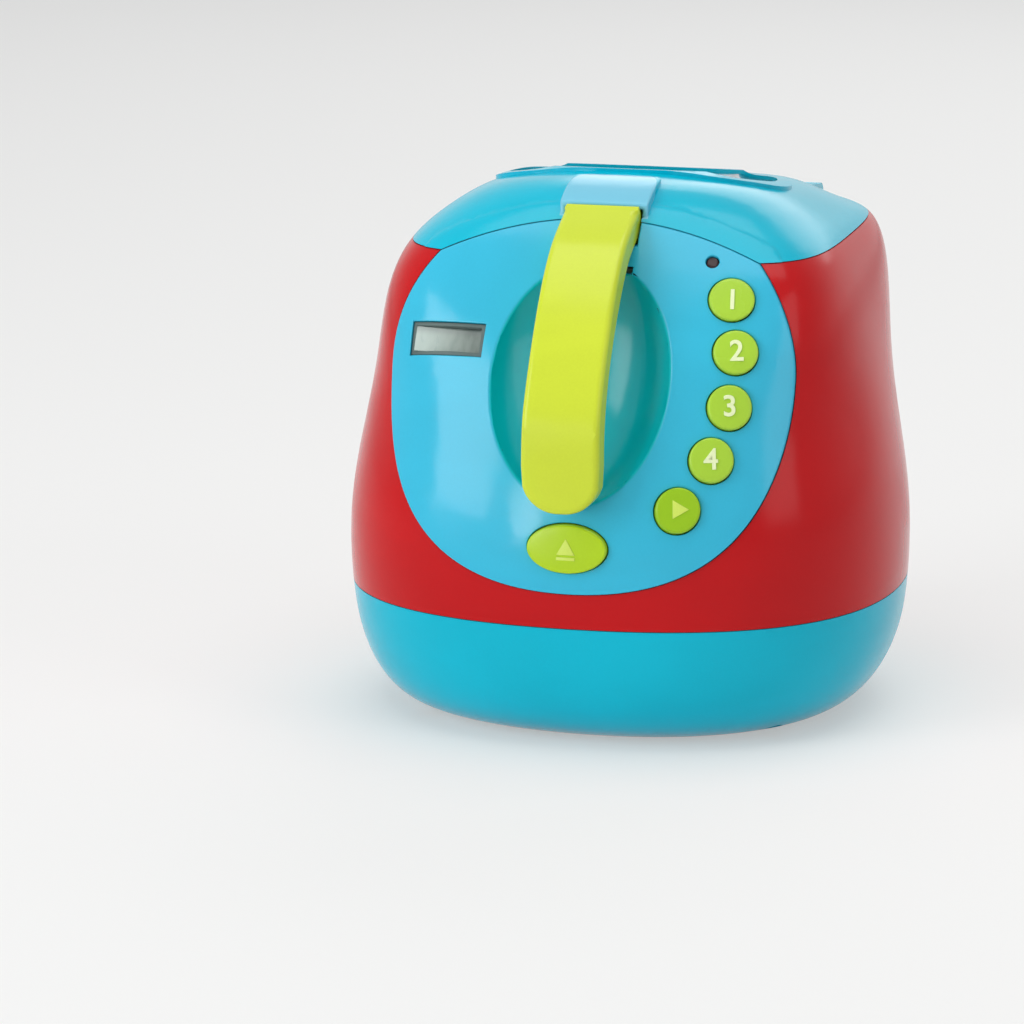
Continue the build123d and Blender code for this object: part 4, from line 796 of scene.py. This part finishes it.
class FRYER_OT_lid(bpy.types.Operator):
    """Finish the lid with its window, liner and filter"""

    bl_idname = "fryer.lid"
    bl_label = "Lid"

    def execute(self, context):
        sizes, colours = context.scene.fryer_sizes, context.scene.fryer_colours
        grey = moulded("liner_plastic", colours.tub, gloss=0.42, grain=0.5)
        lid = welded("lid_shell", "lid_cover", edge=sizes.hood_edge, chosen=self.on_hood)
        seat(lid, "lid_shell", lid_finish(colours, Hood))
        carry("lid_window", clear_finish("window_plastic", linear(176, 214, 232)))
        carry("lid_liner", grey)
        panel = moulded("filter_plastic", colours.panel, gloss=0.3)
        seat(welded("filter_cover", "filter_grille", edge=sizes.shell_edge), "filter_cover", panel)
        seat(welded("filter_pad", "filter_felt", edge=sizes.shell_edge), "filter_pad", felt_finish("filter_felt"))
        return {"FINISHED"}

    def on_hood(self, line):
        """An outer edge of the hood over the handle's root."""
        centre = halfway(line)
        within = abs(centre.x) < Hood.beside and Hood.front < centre.y < Hood.back
        return within and centre.z > Hood.low and line.is_convex


class FRYER_OT_basket(bpy.types.Operator):
    """Finish the tub, the lattice basket and the handle"""

    bl_idname = "fryer.basket"
    bl_label = "Basket and tub"

    def execute(self, context):
        sizes, colours = context.scene.fryer_sizes, context.scene.fryer_colours
        carry("fry_tub", moulded("tub_plastic", colours.tub, gloss=0.4, grain=0.5))
        carry("basket", moulded("basket_plastic", colours.basket, gloss=0.3, grain=0.2))
        grip = welded("basket_handle", "handle_grip")
        self.round_end(grip, sizes)
        rounded(grip, sizes.handle_edge, segments=5, chosen=self.on_grip)
        seat(grip, "basket_handle", moulded("handle_plastic", colours.handle, gloss=0.17))
        return {"FINISHED"}

    def round_end(self, grip, sizes):
        """Draw the sides in towards the lower end, level by level, so that it ends in a fuller round."""
        low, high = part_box("basket_handle")
        solid_round = 9 * MM
        half, old, new = high.x, solid_round, sizes.handle_round
        bpy.ops.object.mode_set(mode="EDIT")
        shell = bmesh.from_edit_mesh(grip.data)
        levels = {}
        for index, vert in enumerate(shell.verts):
            if vert.co.z - low.z < new:
                levels.setdefault(round(vert.co.z - low.z, 5), []).append(index)
        for height, members in levels.items():
            was = half - old + math.sqrt(max(0, old**2 - max(0, old - height) ** 2))
            now = half - new + math.sqrt(max(0, new**2 - (new - height) ** 2))
            bpy.ops.mesh.select_all(action="DESELECT")
            shell = bmesh.from_edit_mesh(grip.data)
            shell.verts.ensure_lookup_table()
            for index in members:
                shell.verts[index].select_set(True)
            bmesh.update_edit_mesh(grip.data)
            bpy.ops.transform.resize(value=(now / was, 1, 1), center_override=(0, 0, 0))
        bpy.ops.object.mode_set(mode="OBJECT")

    def on_grip(self, line):
        """An edge between the outer face of the grip, which leans back above the bend, and one of its sides."""
        bend, root = 130 * MM, -43.5 * MM
        upright, leaning = Vector((0, -1, 0)), Vector((0, -0.75, 0.66))
        centre = halfway(line)
        outward = upright if centre.z < bend else leaning
        side, outer = sorted(face.normal.dot(outward) for face in line.link_faces)
        return centre.y < root and outer > 0.6 and side < 0.45


class FRYER_OT_keys(bpy.types.Operator):
    """Finish the round keys and the open key, with their raised marks"""

    bl_idname = "fryer.keys"
    bl_label = "Keys"

    def execute(self, context):
        sizes, colours = context.scene.fryer_sizes, context.scene.fryer_colours
        program_green = moulded("key_plastic", colours.keys, gloss=0.2)
        start_green = moulded("start_plastic", colours.start_key, gloss=0.2)
        open_green = moulded("open_plastic", colours.open_key, gloss=0.2)
        pale = moulded("mark_plastic", colours.marks, gloss=0.34)
        raised = moulded("raised_mark_plastic", colours.raised_marks, gloss=0.24)
        yaw, lean = KEY_YAW, KEY_LEAN
        outward = Vector((math.sin(yaw) * math.cos(lean), -math.cos(yaw) * math.cos(lean), math.sin(lean)))
        names = [f"program_button_{number}" for number in range(1, 5)] + ["start_button"]
        for number, node in enumerate(names, 1):
            start = node == "start_button"
            cap = welded(node, node.replace("button", "cap"), sizes.key_edge)
            spot = surface_spot(cap, middle(node) + AWAY * outward, -outward)
            seat(cap, node, start_green if start else program_green)
            mark = self.arrow(sizes, -math.pi / 2) if start else self.number(str(number), sizes)
            stood(mark, spot)
            mark.name = f"mark_of_{node}"
            seat(mark, node, raised if start else pale, stands_for=False)
        cap = welded("open_button", "open_cap", sizes.key_edge)
        spot = surface_spot(cap, middle("open_button") + Vector((0, -AWAY, 0)), (0, 1, 0))
        seat(cap, "open_button", open_green)
        arrow = self.arrow(sizes, 0)
        bar = self.bar(sizes)
        mark = stood(joined([arrow, bar], "mark_of_open_button"), spot)
        seat(mark, "open_button", raised, stands_for=False)
        return {"FINISHED"}

    def number(self, digit, sizes):
        """A raised number with rounded strokes."""
        font_size, font_bevel, font_swell = 1.35, 0.3, 0.012
        deselect()
        bpy.ops.object.text_add()
        text = bpy.context.object
        text.data.body = digit
        text.data.size = sizes.mark_height * font_size
        text.data.align_x = "CENTER"
        text.data.align_y = "CENTER"
        text.data.extrude = sizes.mark_rise
        text.data.bevel_depth = sizes.mark_rise * font_bevel
        text.data.offset = sizes.mark_height * font_swell
        bpy.ops.object.convert(target="MESH")
        text = bpy.context.object
        bpy.ops.object.mode_set(mode="EDIT")
        bpy.ops.mesh.select_all(action="SELECT")
        bpy.ops.mesh.remove_doubles(threshold=WELD)
        bpy.ops.mesh.normals_make_consistent(inside=False)
        bpy.ops.object.mode_set(mode="OBJECT")
        return text

    def arrow(self, sizes, turn):
        """A raised triangle that points upwards, or as far round from there as turn says."""
        deselect()
        reach = sizes.mark_height * 0.5
        depth = 2 * sizes.mark_rise
        bpy.ops.mesh.primitive_cylinder_add(vertices=3, radius=reach, depth=depth, rotation=(0, 0, turn))
        return self.softened(sizes)

    def bar(self, sizes):
        """The raised bar below the arrow of the open key, drawn from the arrow's reach."""
        drop, width, height = 0.85, 1.75, 0.3
        deselect()
        reach = sizes.mark_height * 0.5
        bpy.ops.mesh.primitive_cube_add(size=1, location=(0, -drop * reach, 0))
        bpy.context.object.scale = (width * reach, height * reach, 2 * sizes.mark_rise)
        return self.softened(sizes)

    def softened(self, sizes):
        """The active mark with its edges rounded."""
        crease = 40
        bpy.ops.object.transform_apply(location=True, rotation=True, scale=True)
        bpy.ops.object.mode_set(mode="EDIT")
        bpy.ops.mesh.select_all(action="SELECT")
        bpy.ops.mesh.bevel(offset=sizes.mark_rise * 0.5, segments=3)
        bpy.ops.object.mode_set(mode="OBJECT")
        bpy.ops.object.shade_smooth_by_angle(angle=math.radians(crease))
        return bpy.context.object


class FRYER_OT_display(bpy.types.Operator):
    """Finish the screen, its frame and the indicator lamp"""

    bl_idname = "fryer.display"
    bl_label = "Display"

    def execute(self, context):
        sizes = context.scene.fryer_sizes
        grey = moulded("frame_plastic", linear(84, 100, 98), gloss=0.34, grain=0.3)
        seat(welded("display_frame", "screen_frame", edge=sizes.shell_edge), "display_frame", grey)
        screen = welded("display_screen", "screen_film", edge=sizes.shell_edge)
        seat(screen, "display_screen", screen_finish("screen_film", middle("display_screen")))
        lamp = welded("indicator_lens", "lamp_lens", edge=sizes.lens_edge)
        seat(lamp, "indicator_lens", moulded("lamp_plastic", linear(40, 6, 12), gloss=0.1))
        return {"FINISHED"}


class FRYER_OT_works(bpy.types.Operator):
    """Finish the board, keypad, latch, cells, contacts, speaker and feet"""

    bl_idname = "fryer.works"
    bl_label = "Works"

    def execute(self, context):
        sizes = context.scene.fryer_sizes
        carry("control_board", board_finish("circuit_coat"))
        carry("keypad", rubber_finish("mat_rubber", linear(150, 154, 158)))
        carry("board_parts", moulded("chip_resin", linear(30, 31, 33), gloss=0.45, grain=0.4))
        carry("latch_lever", moulded("latch_plastic", linear(224, 224, 220), gloss=0.34))
        low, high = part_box("batteries")
        beyond = 1 * MM
        carry("batteries", battery_finish("cell_sleeve", (high.x - low.x) / 2 - beyond))
        carry("battery_contacts", steel_finish("contact_plate", (0.72, 0.7, 0.64), rough=0.22))
        carry("speaker", speaker_finish("speaker_paper", middle("speaker")))
        feet = welded("feet", "rubber_feet", edge=sizes.foot_edge)
        seat(feet, "feet", rubber_finish("foot_rubber", linear(52, 54, 58)))
        return {"FINISHED"}


class FRYER_OT_fasteners(bpy.types.Operator):
    """Finish the pins, the spring and the screws"""

    bl_idname = "fryer.fasteners"
    bl_label = "Pins, spring and screws"

    def execute(self, context):
        sizes = context.scene.fryer_sizes
        steel = steel_finish("drawn_steel")
        plated = steel_finish("plated_steel", (0.66, 0.66, 0.68), rough=0.3)
        for node in ("hinge_pin", "latch_pin"):
            seat(welded(node, f"{node}_rod", edge=sizes.pin_edge), node, steel)
        carry("open_spring", steel)
        carry("panel_screws", plated)
        carry("board_screws", plated)
        below, ahead = (0, 0, -1), (0, -1, 0)
        for node in ("case_screws", "battery_door_screw", "liner_screws"):
            seat(crossed(node, below, sizes), node, plated)
        seat(crossed("handle_screws", ahead, sizes), "handle_screws", plated)
        return {"FINISHED"}


class FRYER_PT_panel(bpy.types.Panel):
    """Lists the sizes, the colours and each step of the finish"""

    bl_idname = "FRYER_PT_panel"
    bl_label = "Toy air fryer"
    bl_space_type = "VIEW_3D"
    bl_region_type = "UI"
    bl_category = "Fryer"

    def draw(self, context):
        for group in (context.scene.fryer_sizes, context.scene.fryer_colours):
            for name in group.__annotations__:
                self.layout.prop(group, name)
        for step in STEPS:
            self.layout.operator(step.bl_idname)


STEPS = (
    FRYER_OT_stage,
    FRYER_OT_housing,
    FRYER_OT_front,
    FRYER_OT_lid,
    FRYER_OT_basket,
    FRYER_OT_keys,
    FRYER_OT_display,
    FRYER_OT_works,
    FRYER_OT_fasteners,
)
CLASSES = (FRYER_PG_sizes, FRYER_PG_colours, *STEPS, FRYER_PT_panel)


def register():
    for item in CLASSES:
        bpy.utils.register_class(item)
    bpy.types.Scene.fryer_sizes = PointerProperty(type=FRYER_PG_sizes)
    bpy.types.Scene.fryer_colours = PointerProperty(type=FRYER_PG_colours)


def unregister():
    del bpy.types.Scene.fryer_colours
    del bpy.types.Scene.fryer_sizes
    for item in reversed(CLASSES):
        bpy.utils.unregister_class(item)


def main():
    register()
    for step in STEPS:
        group, name = step.bl_idname.split(".")
        getattr(getattr(bpy.ops, group), name)()


if __name__ == "__main__":
    main()
